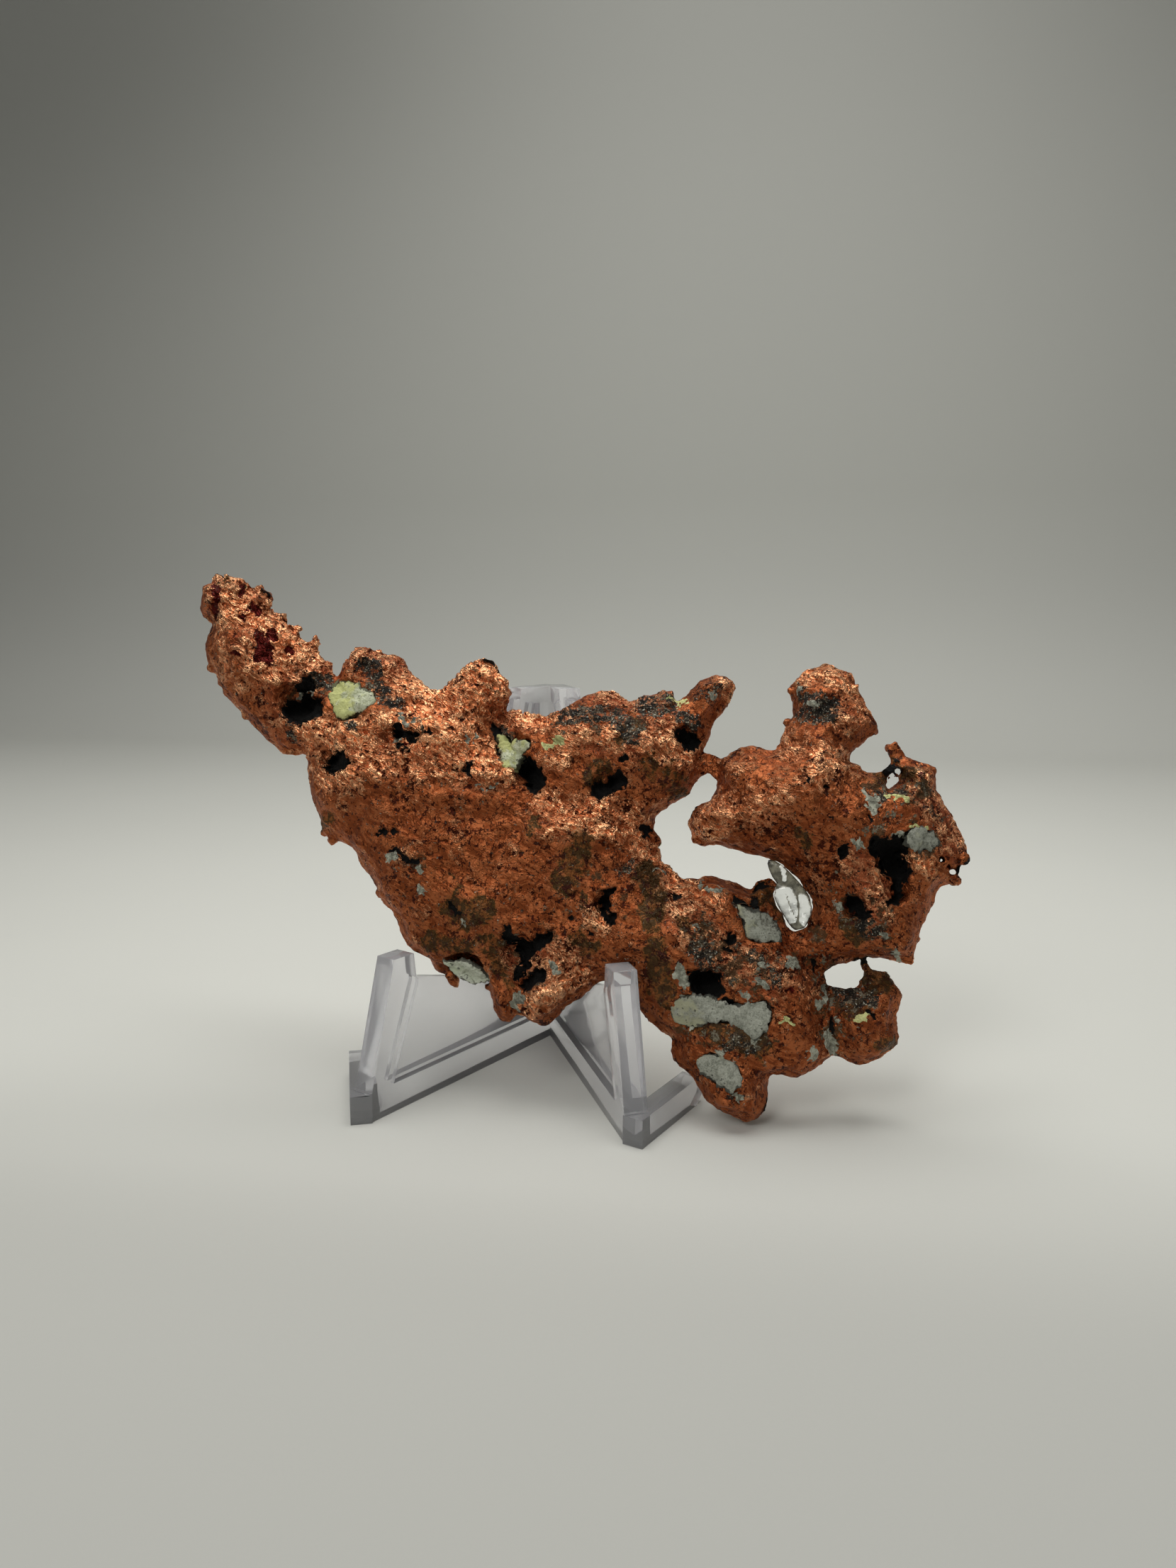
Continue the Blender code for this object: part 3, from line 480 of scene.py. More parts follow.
RED_PITS = strokes(
    (0.9, 1.0, (-54.2, 86.9), (-53.6, 86.2)), (1.2, 1.0, (-52.6, 81.6), (-51.2, 79.6)),
    (1.4, 1.0, (-52.2, 78.2), (-50.6, 77.6)), (0.9, 1.0, (-50.2, 82.6), (-49.6, 81.8)),
    (0.6, 1.0, (-56.2, 85.4)), (0.7, 1.0, (-46.8, 79.2), (-46.0, 78.6)),
    (0.8, 1.0, (-56.8, 91.0), (-57.4, 89.8)), (0.8, 1.0, (-62.6, 91.4), (-62.2, 88.6), (-61.8, 86.0)),
    (0.5, 1.0, (-57.6, 78.2), (-57.0, 77.6)), (0.6, 1.0, (-22.8, 61.8)), (0.5, 1.0, (46.6, 22.4)),
)
BURNISHES = strokes(
    (3.4, 1.0, (-41.0, 63.4), (-33.0, 62.4), (-26.0, 64.6), (-19.0, 62.8), (-12.0, 61.4), (-6.0, 58.4)),
    (5.2, 1.2, (-20.0, 70.2), (-15.0, 69.6), (-10.0, 72.4)),
    (2.4, 1.1, (-13.0, 75.4), (-9.6, 76.6), (-7.6, 74.0)),
    (2.4, 0.85, (-38.0, 55.8), (-30.0, 58.2), (-22.0, 58.2), (-14.6, 57.4), (-9.0, 57.4)),
    (1.5, 1.0, (4.6, 46.4), (10.1, 47.9), (16.3, 47.0), (19.4, 46.8)),
    (2.4, 0.8, (2.0, 51.8), (6.0, 50.6), (12.0, 52.0), (19.0, 49.8)),
    (1.4, 1.0, (20.0, 45.0), (23.6, 42.8), (26.6, 40.6)),
    (1.8, 0.8, (19.6, 61.8), (24.0, 61.4), (28.4, 60.8)), (2.4, 0.6, (6.0, 63.6), (10.0, 64.2), (14.0, 64.2)),
    (2.0, 0.5, (4.0, 58.6), (8.0, 60.4)),
    (3.0, 0.8, (-58.6, 88.4), (-55.0, 84.4), (-49.0, 80.4), (-43.6, 79.0)),
    (1.7, 1.0, (-55.0, 76.4), (-48.0, 76.8)), (2.0, 0.6, (-52.0, 73.6), (-47.0, 74.4)),
    (1.6, 1.0, (-60.4, 84.6), (-58.4, 86.4)),
    (2.6, 0.6, (31.6, 52.2), (38.0, 51.4), (44.0, 53.2), (50.0, 58.0)),
    (2.4, 0.7, (30.6, 47.6), (36.4, 49.8)), (2.6, 0.6, (44.6, 62.8), (51.0, 61.0), (55.0, 60.4)),
    (1.8, 0.8, (47.4, 75.0), (52.0, 75.8), (55.4, 73.0)), (1.6, 0.5, (35.6, 58.6), (39.6, 61.0)),
    (1.5, 0.6, (33.6, 74.2), (34.6, 72.0)), (1.7, 0.9, (65.6, 43.8), (68.6, 43.6)),
    (1.6, 0.8, (28.8, 39.4), (32.4, 37.4), (34.4, 35.8)), (1.4, 0.9, (-3.4, 66.4), (0.0, 66.6), (4.6, 67.0)),
    (1.2, 0.3, (-29.6, 70.6), (-24.4, 75.0)), (1.6, 0.5, (12.2, 32.8), (14.0, 31.0)),
    (1.7, 0.9, (2.0, 16.6), (6.6, 19.2), (12.0, 23.0)),
    (1.6, 0.5, (-60.6, 80.4), (-59.6, 76.0), (-55.6, 71.0)), (1.5, 0.5, (45.0, 23.4), (49.6, 22.6)),
    (1.3, 0.6, (59.2, 42.8), (61.0, 41.8)), (1.4, 0.7, (54.8, 66.8), (57.4, 68.6)),
    (1.2, 0.5, (64.0, 59.0), (68.0, 58.6)),
)
GRAINS = strokes(
    (4.0, 1.0, (-59.6, 91.4), (-56.4, 88.6), (-53.0, 85.0), (-48.6, 82.0), (-43.0, 79.0)),
    (3.8, 1.0, (-54.0, 80.0), (-48.6, 77.4), (-42.6, 75.4)),
    (2.2, 0.8, (-33.8, 77.4), (-29.0, 78.4), (-25.2, 75.0)),
    (1.8, 1.0, (-3.4, 66.8), (3.0, 66.8), (7.0, 67.6)), (3.0, 0.7, (-12.0, 73.6), (-7.4, 73.0), (-6.0, 69.4)),
    (3.0, 0.6, (-38.0, 62.6), (-26.0, 62.4), (-14.0, 59.6), (-6.0, 58.0)),
    (2.0, 0.8, (12.0, 70.6), (15.4, 70.8), (23.6, 70.6)),
    (2.2, 0.7, (72.0, 47.4), (69.8, 51.8), (67.0, 56.0)),
    (3.0, 0.6, (22.0, 42.0), (26.0, 36.6), (29.6, 32.0)),
    (3.4, 0.55, (31.0, 31.0), (37.0, 25.6), (44.0, 24.0)), (2.6, 0.7, (-2.0, 25.0), (4.0, 23.0), (8.4, 26.0)),
    (2.6, 0.6, (56.0, 44.0), (59.6, 40.0), (60.0, 33.6)), (2.2, 0.6, (8.4, 64.8), (18.0, 62.0), (24.0, 65.4)),
    (1.5, 0.5, (3.0, 50.0), (16.0, 50.6)), (1.8, 0.6, (51.0, 70.0), (54.6, 67.0)),
    (3.0, 0.3, (-50.0, 70.6), (-46.4, 64.4)),
)
MIXED_ROCK = strokes(
    (3.4, 0.95, (31.0, 31.0), (35.0, 28.0), (38.4, 25.0), (42.0, 22.6)),
    (2.6, 0.9, (30.6, 14.6), (35.6, 13.6), (41.6, 12.6)),
    (2.2, 0.7, (44.0, 25.6), (47.6, 27.0), (49.6, 29.6)),
    (2.0, 1.0, (50.6, 31.0), (51.4, 27.0), (52.4, 21.6), (53.6, 15.0)),
    (2.4, 0.9, (54.6, 21.4), (57.6, 20.6), (59.0, 22.0)),
    (3.6, 0.8, (54.4, 38.4), (57.4, 35.6), (61.4, 33.0)),
    (2.8, 0.85, (60.4, 49.6), (64.6, 49.8), (67.4, 47.4)),
    (2.0, 0.9, (58.4, 55.6), (62.4, 54.8), (66.4, 56.2)),
    (2.2, 0.8, (6.0, 66.6), (11.0, 67.4), (17.0, 65.8), (23.0, 69.0)),
    (2.2, 0.55, (-2.0, 28.0), (2.6, 25.0), (3.6, 21.0)), (2.6, 0.5, (15.0, 36.0), (22.0, 36.0), (27.0, 33.0)),
    (4.2, 0.45, (4.0, 29.0), (9.0, 32.0), (14.0, 37.0)), (2.0, 0.7, (-24.0, 41.4), (-19.4, 39.8)),
    (2.0, 0.8, (-45.0, 70.6), (-41.4, 70.6), (-38.0, 71.4)), (1.8, 0.6, (-25.0, 66.0), (-21.0, 65.0)),
    (1.8, 0.9, (48.0, 71.0), (51.6, 69.0)), (1.2, 0.9, (-4.4, 64.6), (-3.4, 61.0), (-1.0, 57.6)),
)
FRONT_MARKS = {
    Mark.ASH_STONE: ASH_STONES,
    Mark.LIME_STONE: LIME_STONES,
    Mark.CRUST: CRUSTS,
    Mark.STAIN: STAINS,
    Mark.RED_PIT: RED_PITS,
    Mark.BURNISH: BURNISHES,
    Mark.GRAIN: GRAINS,
    Mark.MIXED: MIXED_ROCK,
}


# Shader maths


class Sock:
    """A node's output that takes part in arithmetic: an expression on values adds its Math nodes."""

    def __init__(self, recipe: "Recipe", socket: bpy.types.NodeSocket) -> None:
        """Wrap one output of the recipe's nodes."""
        self.recipe = recipe
        self.socket = socket

    def _math(self, operation: str, *values: "Sock | float") -> "Sock":
        """Add one Math node for the operation on the values."""
        made = self.recipe.node("ShaderNodeMath", {"operation": operation}, dict(enumerate(values)))
        return Sock(self.recipe, made.outputs[0])

    def __add__(self, other: "Sock | float") -> "Sock":
        """Add."""
        return self._math("ADD", self, other)

    def __radd__(self, other: float) -> "Sock":
        """Add, reflected."""
        return self._math("ADD", other, self)

    def __sub__(self, other: "Sock | float") -> "Sock":
        """Take away."""
        return self._math("SUBTRACT", self, other)

    def __rsub__(self, other: float) -> "Sock":
        """Take away, reflected."""
        return self._math("SUBTRACT", other, self)

    def __mul__(self, other: "Sock | float") -> "Sock":
        """Multiply."""
        return self._math("MULTIPLY", self, other)

    def __rmul__(self, other: float) -> "Sock":
        """Multiply, reflected."""
        return self._math("MULTIPLY", other, self)

    def __abs__(self) -> "Sock":
        """Drop the sign."""
        return self._math("ABSOLUTE", self)

    def greatest(self, other: "Sock | float") -> "Sock":
        """The greater of the two."""
        return self._math("MAXIMUM", self, other)

    def step(self, low: float, high: float) -> "Sock":
        """A smooth step.

        Args:
            low: Where it is 0.
            high: Where it is 1; this may be the lesser of the two.

        Returns:
            A number from 0 to 1.
        """
        made = self.recipe.node(
            "ShaderNodeMapRange",
            {"interpolation_type": "SMOOTHSTEP", "clamp": True},
            {"Value": self, "From Min": low, "From Max": high, "To Min": 0.0, "To Max": 1.0},
        )
        return Sock(self.recipe, made.outputs["Result"])


class Recipe:
    """One material's nodes, with patterns measured in millimetres."""

    def __init__(self, name: str) -> None:
        """Start a material with one Principled shader.

        Args:
            name: The material's name.
        """
        self.material = bpy.data.materials.new(name)
        self.material.use_nodes = True
        self.tree = self.material.node_tree
        self.shader = self.tree.nodes["Principled BSDF"]
        self.place = Sock(self, self.node("ShaderNodeTexCoord").outputs["Object"])
        self.millimetres = self.stretched((1.0, 1.0, 1.0))

    def node(
        self, kind: str, settings: dict[str, object] | None = None, sockets: dict | None = None
    ) -> bpy.types.Node:
        """Add a node.

        Args:
            kind: The node's type.
            settings: Its properties, which are set first.
            sockets: Values or links of its inputs, by name or index.

        Returns:
            The node.
        """
        made = self.tree.nodes.new(kind)
        for name, value in (settings or {}).items():
            setattr(made, name, value)
        for name, value in (sockets or {}).items():
            self.join(made.inputs[name], value)
        return made

    def join(self, target: bpy.types.NodeSocket, value: object) -> None:
        """Link a Sock to an input, or set the input's value.

        Args:
            target: The input.
            value: A Sock, a number or a colour.
        """
        if isinstance(value, Sock):
            self.tree.links.new(value.socket, target)
        elif target.type == "RGBA":
            target.default_value = (*value, 1.0)
        else:
            target.default_value = value

    def set(self, **values: object) -> None:
        """Feed the shader's inputs; an underscore in a name stands for a space."""
        for name, value in values.items():
            self.join(self.shader.inputs[name.replace("_", " ")], value)

    def stretched(self, share: Place) -> Sock:
        """The place in millimetres, with each axis multiplied by its share."""
        sockets = {"Vector": self.place, "Scale": tuple(part / MM for part in share)}
        return Sock(self, self.node("ShaderNodeMapping", {"vector_type": "POINT"}, sockets).outputs[0])

    def slanted(self, turn: float, along: float) -> Sock:
        """The place in millimetres, turned in the plate's face and drawn out along the turned direction.

        Args:
            turn: The direction's slope on the face, in radians.
            along: How many times longer a pattern is in that direction.

        Returns:
            The place, for a pattern's own use.
        """
        sockets = {"Vector": self.place, "Rotation": (0.0, turn, 0.0), "Scale": (along * MM, MM, MM)}
        return Sock(self, self.node("ShaderNodeMapping", {"vector_type": "TEXTURE"}, sockets).outputs[0])

    def noise(
        self,
        scale: float,
        detail: float = 4.0,
        rough: float = 0.6,
        twist: float = 0.0,
        at: Sock | None = None,
    ) -> Sock:
        """Noise from 0 to 1.

        Args:
            scale: Waves in a millimetre.
            detail: How many finer waves are added.
            rough: How strong each finer wave is beside the last.
            twist: How far the pattern is bent by itself.
            at: The place it reads, or None for the plain place in millimetres.

        Returns:
            The noise.
        """
        sockets = {"Vector": at or self.millimetres, "Scale": scale, "Detail": detail}
        sockets |= {"Roughness": rough, "Distortion": twist}
        return Sock(self, self.node("ShaderNodeTexNoise", {}, sockets).outputs[0])

    def warped(self, scale: float, reach: float) -> Sock:
        """The place in millimetres, shaken by noise.

        Args:
            scale: The noise's waves in a millimetre.
            reach: Twice the furthest shift, in millimetres.

        Returns:
            The place, for a pattern's own use.
        """
        sockets = {"Vector": self.millimetres, "Scale": scale, "Detail": 3.0}
        shift = Sock(self, self.node("ShaderNodeTexNoise", {}, sockets).outputs["Color"])
        sockets = {0: shift, 1: (reach, reach, reach), 2: self.millimetres}
        made = self.node("ShaderNodeVectorMath", {"operation": "MULTIPLY_ADD"}, sockets)
        return Sock(self, made.outputs[0])

    def cells(self, scale: float, at: Sock) -> Sock:
        """The distance to the nearest of scattered middles, this many to a millimetre."""
        made = self.node("ShaderNodeTexVoronoi", {"feature": "F1"}, {"Vector": at, "Scale": scale})
        return Sock(self, made.outputs["Distance"])

    def threads(self, scale: float, at: Sock | None = None, twist: float = 1.0) -> Sock:
        """Wandering lines: 1 on a line and less beside it."""
        return 1.0 - abs(self.noise(scale, 3.0, 0.55, twist, at) * 2.0 - 1.0)

    def attribute(self, name: str) -> Sock:
        """A number that the mesh holds at each vertex."""
        return Sock(self, self.node("ShaderNodeAttribute", {"attribute_name": name}).outputs["Fac"])

    def mix(self, share: Sock | float, first: Sock | Colour, second: Sock | Colour) -> Sock:
        """Blend two colours."""
        made = self.node("ShaderNodeMix", {"data_type": "RGBA"}, {0: share, 6: first, 7: second})
        return Sock(self, made.outputs[2])

    def blend(self, share: Sock, first: Sock | float, second: Sock | float) -> Sock:
        """Blend two numbers."""
        made = self.node("ShaderNodeMix", {"data_type": "FLOAT"}, {0: share, 2: first, 3: second})
        return Sock(self, made.outputs[0])

    def bump(self, height: Sock, depth: float) -> Sock:
        """A normal for a relief of this depth in millimetres."""
        made = self.node("ShaderNodeBump", {}, {"Height": height, "Distance": depth * MM, "Strength": 1.0})
        return Sock(self, made.outputs[0])


# Finishes


def shade(colour: Colour, share: float) -> Colour:
    """A colour times a share."""
    return tuple(part * share for part in colour)


@dataclass(frozen=True)
class CopperFinish:
    """Native copper: satin brown faces, burnished folds, pits, stains, rock crust and stone spots, with
    painted shade in creases and hollows and painted highlights on high places.
    """

    # The deep and warm tones follow the relief and a broad random change of tone: darker in low places, as
    # painted shade, and warmer on high places, as painted light.
    deep: Colour = (0.29, 0.074, 0.023)
    warm: Colour = (0.41, 0.116, 0.037)
    ruddy: Colour = (0.40, 0.085, 0.052)
    light: Colour = (1.00, 0.350, 0.140)
    # This bright colour is a painted highlight, laid on the high places of rough copper and in thin glinting
    # lines.
    bright: Colour = (1.00, 0.54, 0.28)
    speck: Colour = (0.060, 0.013, 0.007)
    # This dark colour is painted shade in the creases, where the relief is low.
    gap: Colour = (0.085, 0.020, 0.007)
    ochre: Colour = (0.21, 0.085, 0.018)
    umber: Colour = (0.062, 0.034, 0.010)
    pit_red: Colour = (0.13, 0.016, 0.012)
    rock_black: Colour = (0.015, 0.011, 0.007)
    rock_brown: Colour = (0.085, 0.055, 0.032)
    rock_grey: Colour = (0.20, 0.175, 0.120)
    rock_pale: Colour = (0.62, 0.64, 0.56)
    ash: Colour = (0.48, 0.49, 0.39)
    ash_dark: Colour = (0.22, 0.22, 0.17)
    lime: Colour = (0.64, 0.64, 0.28)
    # Near-black painted shade inside the deeper hollows.
    hollow_shade: Colour = (0.004, 0.0035, 0.003)
    # Waves to a millimetre.
    leather_scale: float = 0.95
    crinkle_scale: float = 2.6
    crumple_scale: float = 0.44
    swirl_scale: float = 0.42
    # The crumpled streaks' slope on the face, in radians, and how many times longer than wide they are.
    streak_turn: float = 0.55
    streak_length: float = 2.9
    # The satin faces' roughness, what rough places and their high parts lose of it, and the rock's.
    satin: float = 0.52
    worked: float = 0.07
    glint: float = 0.22
    rock_roughness: float = 0.8
    specular: float = 0.3
    metal: float = 0.94
    relief_depth: float = 0.60

    def material(self) -> bpy.types.Material:
        """Build the copper material.

        Returns:
            The material.
        """
        r = CopperRecipe(self)
        ash = (r.mark[Mark.ASH_STONE] + r.ragged).step(0.48, 0.54)
        lime = (r.mark[Mark.LIME_STONE] + r.ragged).step(0.48, 0.54)
        hollow = (r.mark[Mark.HOLLOW] + r.ragged * 0.7).step(0.44, 0.52)
        colour, rocky = r.rocks(r.stains(r.bare_copper()))
        colour = r.mix(ash, colour, r.mix(r.leather.step(0.40, 0.60), self.ash_dark, self.ash))
        colour = r.mix(lime, colour, self.lime)
        # The deeper hollows are painted near black: painted shade.
        colour = r.mix(hollow, colour, self.hollow_shade)
        dull = rocky.greatest(ash).greatest(lime).greatest(hollow)
        worn = self.satin - r.rough * (self.worked + r.high.step(0.52, 0.64) * self.glint)
        r.set(
            Base_Color=colour,
            Metallic=(1.0 - dull) * (self.metal - r.mark[Mark.STAIN] * 0.5),
            Specular_IOR_Level=self.specular,
            Roughness=r.blend(dull, worn, self.rock_roughness),
            Normal=r.bump(r.relief(), self.relief_depth),
        )
        return r.material


class CopperRecipe(Recipe):
    """The copper's nodes: the patterns that its colour and relief share, and the layers made from them."""

    def __init__(self, finish: CopperFinish) -> None:
        """Lay out the painted marks and the shared patterns.

        Args:
            finish: The copper's colours, scales and roughness.
        """
        super().__init__("native copper")
        self.finish = finish
        self.mark = {kind: self.attribute(kind.value) for kind in Mark}
        self.broad = self.noise(0.10, 4.0)
        self.leather = self.noise(finish.leather_scale, 4.0, 0.58)
        self.crinkle = self.noise(finish.crinkle_scale, 4.0, 0.65)
        # A shift that makes the edges of marks ragged.
        self.ragged = (self.noise(1.1, 7.0, 0.78) - 0.5) * 1.9
        worked = self.mark[Mark.BURNISH].greatest(self.mark[Mark.GRAIN] * 0.8)
        self.rough = (worked + (self.noise(0.24, 5.0, 0.74) - 0.5) * 2.9).step(0.12, 0.66)
        self.folds = self._folds()
        streaks = self.slanted(finish.streak_turn, finish.streak_length)
        self.crumple = self.threads(finish.crumple_scale, streaks, 1.3).step(0.70, 1.0)
        high = self.leather * 0.26 + self.crinkle * 0.07 + self.folds * 0.24 + self.crumple * 0.30
        # Crests lift this pattern. Through it the colour is lighter on crests and darker in creases, as
        # painted light and shade, and the roughness is lower on crests.
        self.high = high + self.attribute("crest") * 0.15
        self.marred = self._marred()

    def _folds(self) -> Sock:
        """Crumple the copper into facets with creases between them, as if beaten.

        Returns:
            The distance from each facet's middle.
        """
        wide = self.cells(0.42, self.warped(0.35, 2.6))
        small = self.cells(1.05, self.warped(0.9, 0.9))
        return self.blend(self.broad.step(0.35, 0.65), wide, wide * 0.6 + small * 0.4)

    def _marred(self) -> Sock:
        """Mar the copper with small ragged flecks and short cracks.

        Returns:
            How dark they are, from 0 to 1.
        """
        grit = self.noise(0.75, 6.0, 0.74) + self.mark[Mark.MIXED] * 0.02
        grit = grit + (self.noise(0.12, 4.0) - 0.5) * 0.24 - self.rough * 0.012
        speck = grit.step(0.574, 0.582)
        speck = speck.greatest(self.noise(1.7, 4.0, 0.62).step(0.612, 0.625) * 0.9)
        crack = self.threads(0.30, self.warped(0.9, 1.4), 0.5).step(0.972, 0.992)
        return speck.greatest(crack * self.noise(0.2, 3.0).step(0.48, 0.58) * (1.0 - self.rough) * 0.9)

    def bare_copper(self) -> Sock:
        """Colour the bare copper: brown faces, painted shade in the creases and painted highlights on the
        high places.

        Returns:
            The colour.
        """
        tone, rough, high, burnish = self.finish, self.rough, self.high, self.mark[Mark.BURNISH]
        # Darker in low places and warmer on high ones: painted shade and light, with a broad random change of
        # tone.
        copper = self.mix((high + self.broad * 0.5 - 0.25).step(0.45, 0.60), tone.deep, tone.warm)
        copper = self.mix(self.mark[Mark.GRAIN] * 0.45, copper, tone.ruddy)
        copper = self.mix(rough * (0.32 + burnish * 0.66), copper, tone.light)
        # Painted shade in the creases, where the relief is low.
        copper = self.mix(high.step(0.45, 0.37) * (0.16 + rough * 0.60 - burnish * 0.28), copper, tone.gap)
        # Painted highlights on the high places of rough copper.
        copper = self.mix(high.step(0.50, 0.58) * (0.04 + rough * 0.76), copper, tone.bright)
        # Thin lines of painted glints.
        painted_glints = self.threads(1.0, self.warped(1.5, 0.5)).step(0.88, 0.96) * self.leather.step(0.46, 0.54)
        return self.mix(painted_glints * rough * 0.5, copper, tone.bright)

    def stains(self, copper: Sock) -> Sock:
        """Lay olive stains, red pits, flecks and cracks over the copper's colour.

        Args:
            copper: The bare copper's colour.

        Returns:
            The colour.
        """
        tone = self.finish
        blot = self.mark[Mark.STAIN] + self.ragged * 0.5 + (self.noise(0.30, 5.0, 0.7) - 0.5) * 2.4 - 0.10
        patches = self.noise(0.6, 6.0, 0.74).step(0.44, 0.51)
        copper = self.mix(blot.step(0.20, 0.55) * 0.74, copper, tone.ochre)
        copper = self.mix(blot.step(0.42, 0.56) * patches * 0.92, copper, tone.umber)
        copper = self.mix((self.mark[Mark.RED_PIT] + self.ragged).step(0.40, 0.56), copper, tone.pit_red)
        return self.mix(self.marred, copper, tone.speck)

    def rocks(self, copper: Sock) -> tuple[Sock, Sock]:
        """Lay the rock crust and the rock grains among copper over the copper's colour.

        Args:
            copper: The stained copper's colour.

        Returns:
            The colour, and where it is rock.
        """
        tone, mixed = self.finish, self.mark[Mark.MIXED]
        bare = self.noise(0.9, 6.0, 0.74).step(0.53, 0.56)
        crust = self.mark[Mark.CRUST] + self.ragged * 2.0 + (self.crinkle - 0.5) * 1.2
        crust = crust.step(0.36, 0.46) * (1.0 - bare * 0.85)
        among, thinned = mixed.step(0.05, 0.30), (mixed - 1.0) * 0.12
        umber = (self.noise(0.42, 7.0, 0.74) + thinned).step(0.505, 0.525) * among
        stony = (self.noise(0.60, 6.0, 0.72) + thinned).step(0.552, 0.566) * among
        flecks = self.noise(2.8, 3.0, 0.6)
        patch = self.noise(0.5, 4.0, 0.7)
        flake = self.mix((flecks + patch).step(1.00, 1.06), tone.rock_black, tone.rock_brown)
        flake = self.mix((flecks + patch * 0.6).step(0.85, 0.93), flake, tone.rock_grey)
        flake = self.mix(flecks.step(0.63, 0.66), flake, tone.rock_pale)
        colour = self.mix(umber * 0.85, copper, tone.umber)
        colour = self.mix(stony, colour, self.mix(flecks.step(0.40, 0.56), tone.rock_brown, tone.rock_grey))
        return self.mix(crust, colour, flake), crust.greatest(stony).greatest(umber * 0.7)

    def relief(self) -> Sock:
        """Raise the fine relief: leathery faces, crumpled folds, swirls, flecks and cracks.

        Returns:
            The height, as a share of the relief's depth.
        """
        rough = self.rough
        swirl = self.threads(self.finish.swirl_scale, self.warped(0.35, 3.2), 0.6).step(0.86, 1.0)
        relief = self.leather * (0.24 + rough * 0.24) + self.crinkle * (0.12 + rough * 0.02)
        relief += self.folds * (0.14 + rough * 0.45) + self.crumple * (0.06 + rough)
        return relief + swirl * (0.16 - rough * 0.14) - self.marred * 0.30


@dataclass(frozen=True)
class StoneFinish:
    """Dull mineral set in the copper, from a pale tone to a shadowed one, with a bloom over part of it."""

    name: str
    light: Colour
    dark: Colour
    bloom: Colour
    bloom_share: float
    # How dark the pores and the rim are beside the shadowed tone.
    pore_shade: float = 0.25
    rim_shade: float = 0.16
    roughness: float = 0.62
    relief_depth: float = 0.40

    def material(self) -> bpy.types.Material:
        """Build the stone material.

        Returns:
            The material.
        """
        r = Recipe(self.name)
        mottle = r.noise(0.9, 6.0, 0.7)
        fine = r.noise(3.4, 4.0, 0.7)
        edge = 1.0 - self.bloom_share
        tinted = r.noise(0.28, 3.0) + (0.5 - r.attribute("side")) * 0.30
        pores = (fine * 0.5 + mottle * 0.5).step(0.42, 0.34) * 0.8
        rim = (r.attribute("rim") + (mottle - 0.5) * 4.0).step(0.42, 0.58)
        colour = r.mix((mottle * 0.6 + fine * 0.4).step(0.38, 0.58), self.dark, self.light)
        colour = r.mix(tinted.step(edge - 0.06, edge + 0.08), colour, self.bloom)
        colour = r.mix(pores, colour, shade(self.dark, self.pore_shade))
        colour = r.mix(rim * 0.85, colour, shade(self.dark, self.rim_shade))
        relief = r.bump(mottle * 0.7 + fine * 0.4, self.relief_depth)
        r.set(Base_Color=colour, Roughness=self.roughness + fine * 0.3, Normal=relief)
        return r.material


LIMEY = StoneFinish("lime green stone", (0.66, 0.69, 0.50), (0.34, 0.37, 0.20), (0.56, 0.58, 0.23), 0.55)
ASHEN = StoneFinish("ash grey stone", (0.40, 0.41, 0.34), (0.20, 0.21, 0.165), (0.43, 0.43, 0.29), 0.36)
PALE = StoneFinish("pale green stone", (0.70, 0.73, 0.60), (0.47, 0.50, 0.38), (0.60, 0.66, 0.48), 0.4)


@dataclass(frozen=True)
class AcrylicFinish:
    """Moulded acrylic: mostly clear, with faint upright scuffs and moulding waves."""

    tint: Colour = (0.97, 0.97, 1.0)
    clear: float = 0.78
    ior: float = 1.36
    polish: float = 0.10
    scuff: float = 0.16
    relief_depth: float = 0.05
    scuff_shape: Place = (0.4, 0.4, 1.8)

    def material(self) -> bpy.types.Material:
        """Build the clear material.

        Returns:
            The material.
        """
        r = Recipe("clear acrylic")
        scuffs = r.noise(0.5, 6.0, 0.7, 0.5, r.stretched(self.scuff_shape)).step(0.56, 0.74)
        r.set(
            Base_Color=self.tint,
            Transmission_Weight=self.clear,
            IOR=self.ior,
            Roughness=self.polish + scuffs * self.scuff,
            Normal=r.bump(r.noise(0.16, 2.0), self.relief_depth),
        )
        return r.material


@dataclass(frozen=True)
class FilmFinish:
    """The clear calcite film: glassy, clear in its bright bands, and tinted dark beside the copper as painted
    shade for the dark copper seen through it.
    """

    clear: Colour = (0.97, 0.98, 0.97)
    # Outside the bright bands the film is tinted dark, as painted shade for the dark copper seen through it,
    # in places lightened by a noise veil.
    refracted_shade: Colour = (0.085, 0.080, 0.062)
    veil_share: float = 3.5
    ior: float = 1.58
    polish: float = 0.05
    shaded_roughness: float = 0.22
    relief_depth: float = 0.12

    def material(self) -> bpy.types.Material:
        """Build the film's material.

        Returns:
            The material.
        """
        r = Recipe("clear calcite")
        light = (r.attribute("bright_band") + (r.noise(1.2, 5.0, 0.7) - 0.5) * 0.5).step(0.30, 0.46)
        veil = r.noise(0.9, 4.0).step(0.38, 0.66)
        # Painted shade outside the bright bands, varied by noise.
        shade_tint = r.mix(veil, self.refracted_shade, shade(self.refracted_shade, self.veil_share))
        r.set(
            Base_Color=r.mix(light, shade_tint, self.clear),
            Transmission_Weight=1.0,
            IOR=self.ior,
            Roughness=self.polish + (1.0 - light) * self.shaded_roughness,
            Normal=r.bump(r.noise(0.7, 3.0), self.relief_depth),
        )
        return r.material


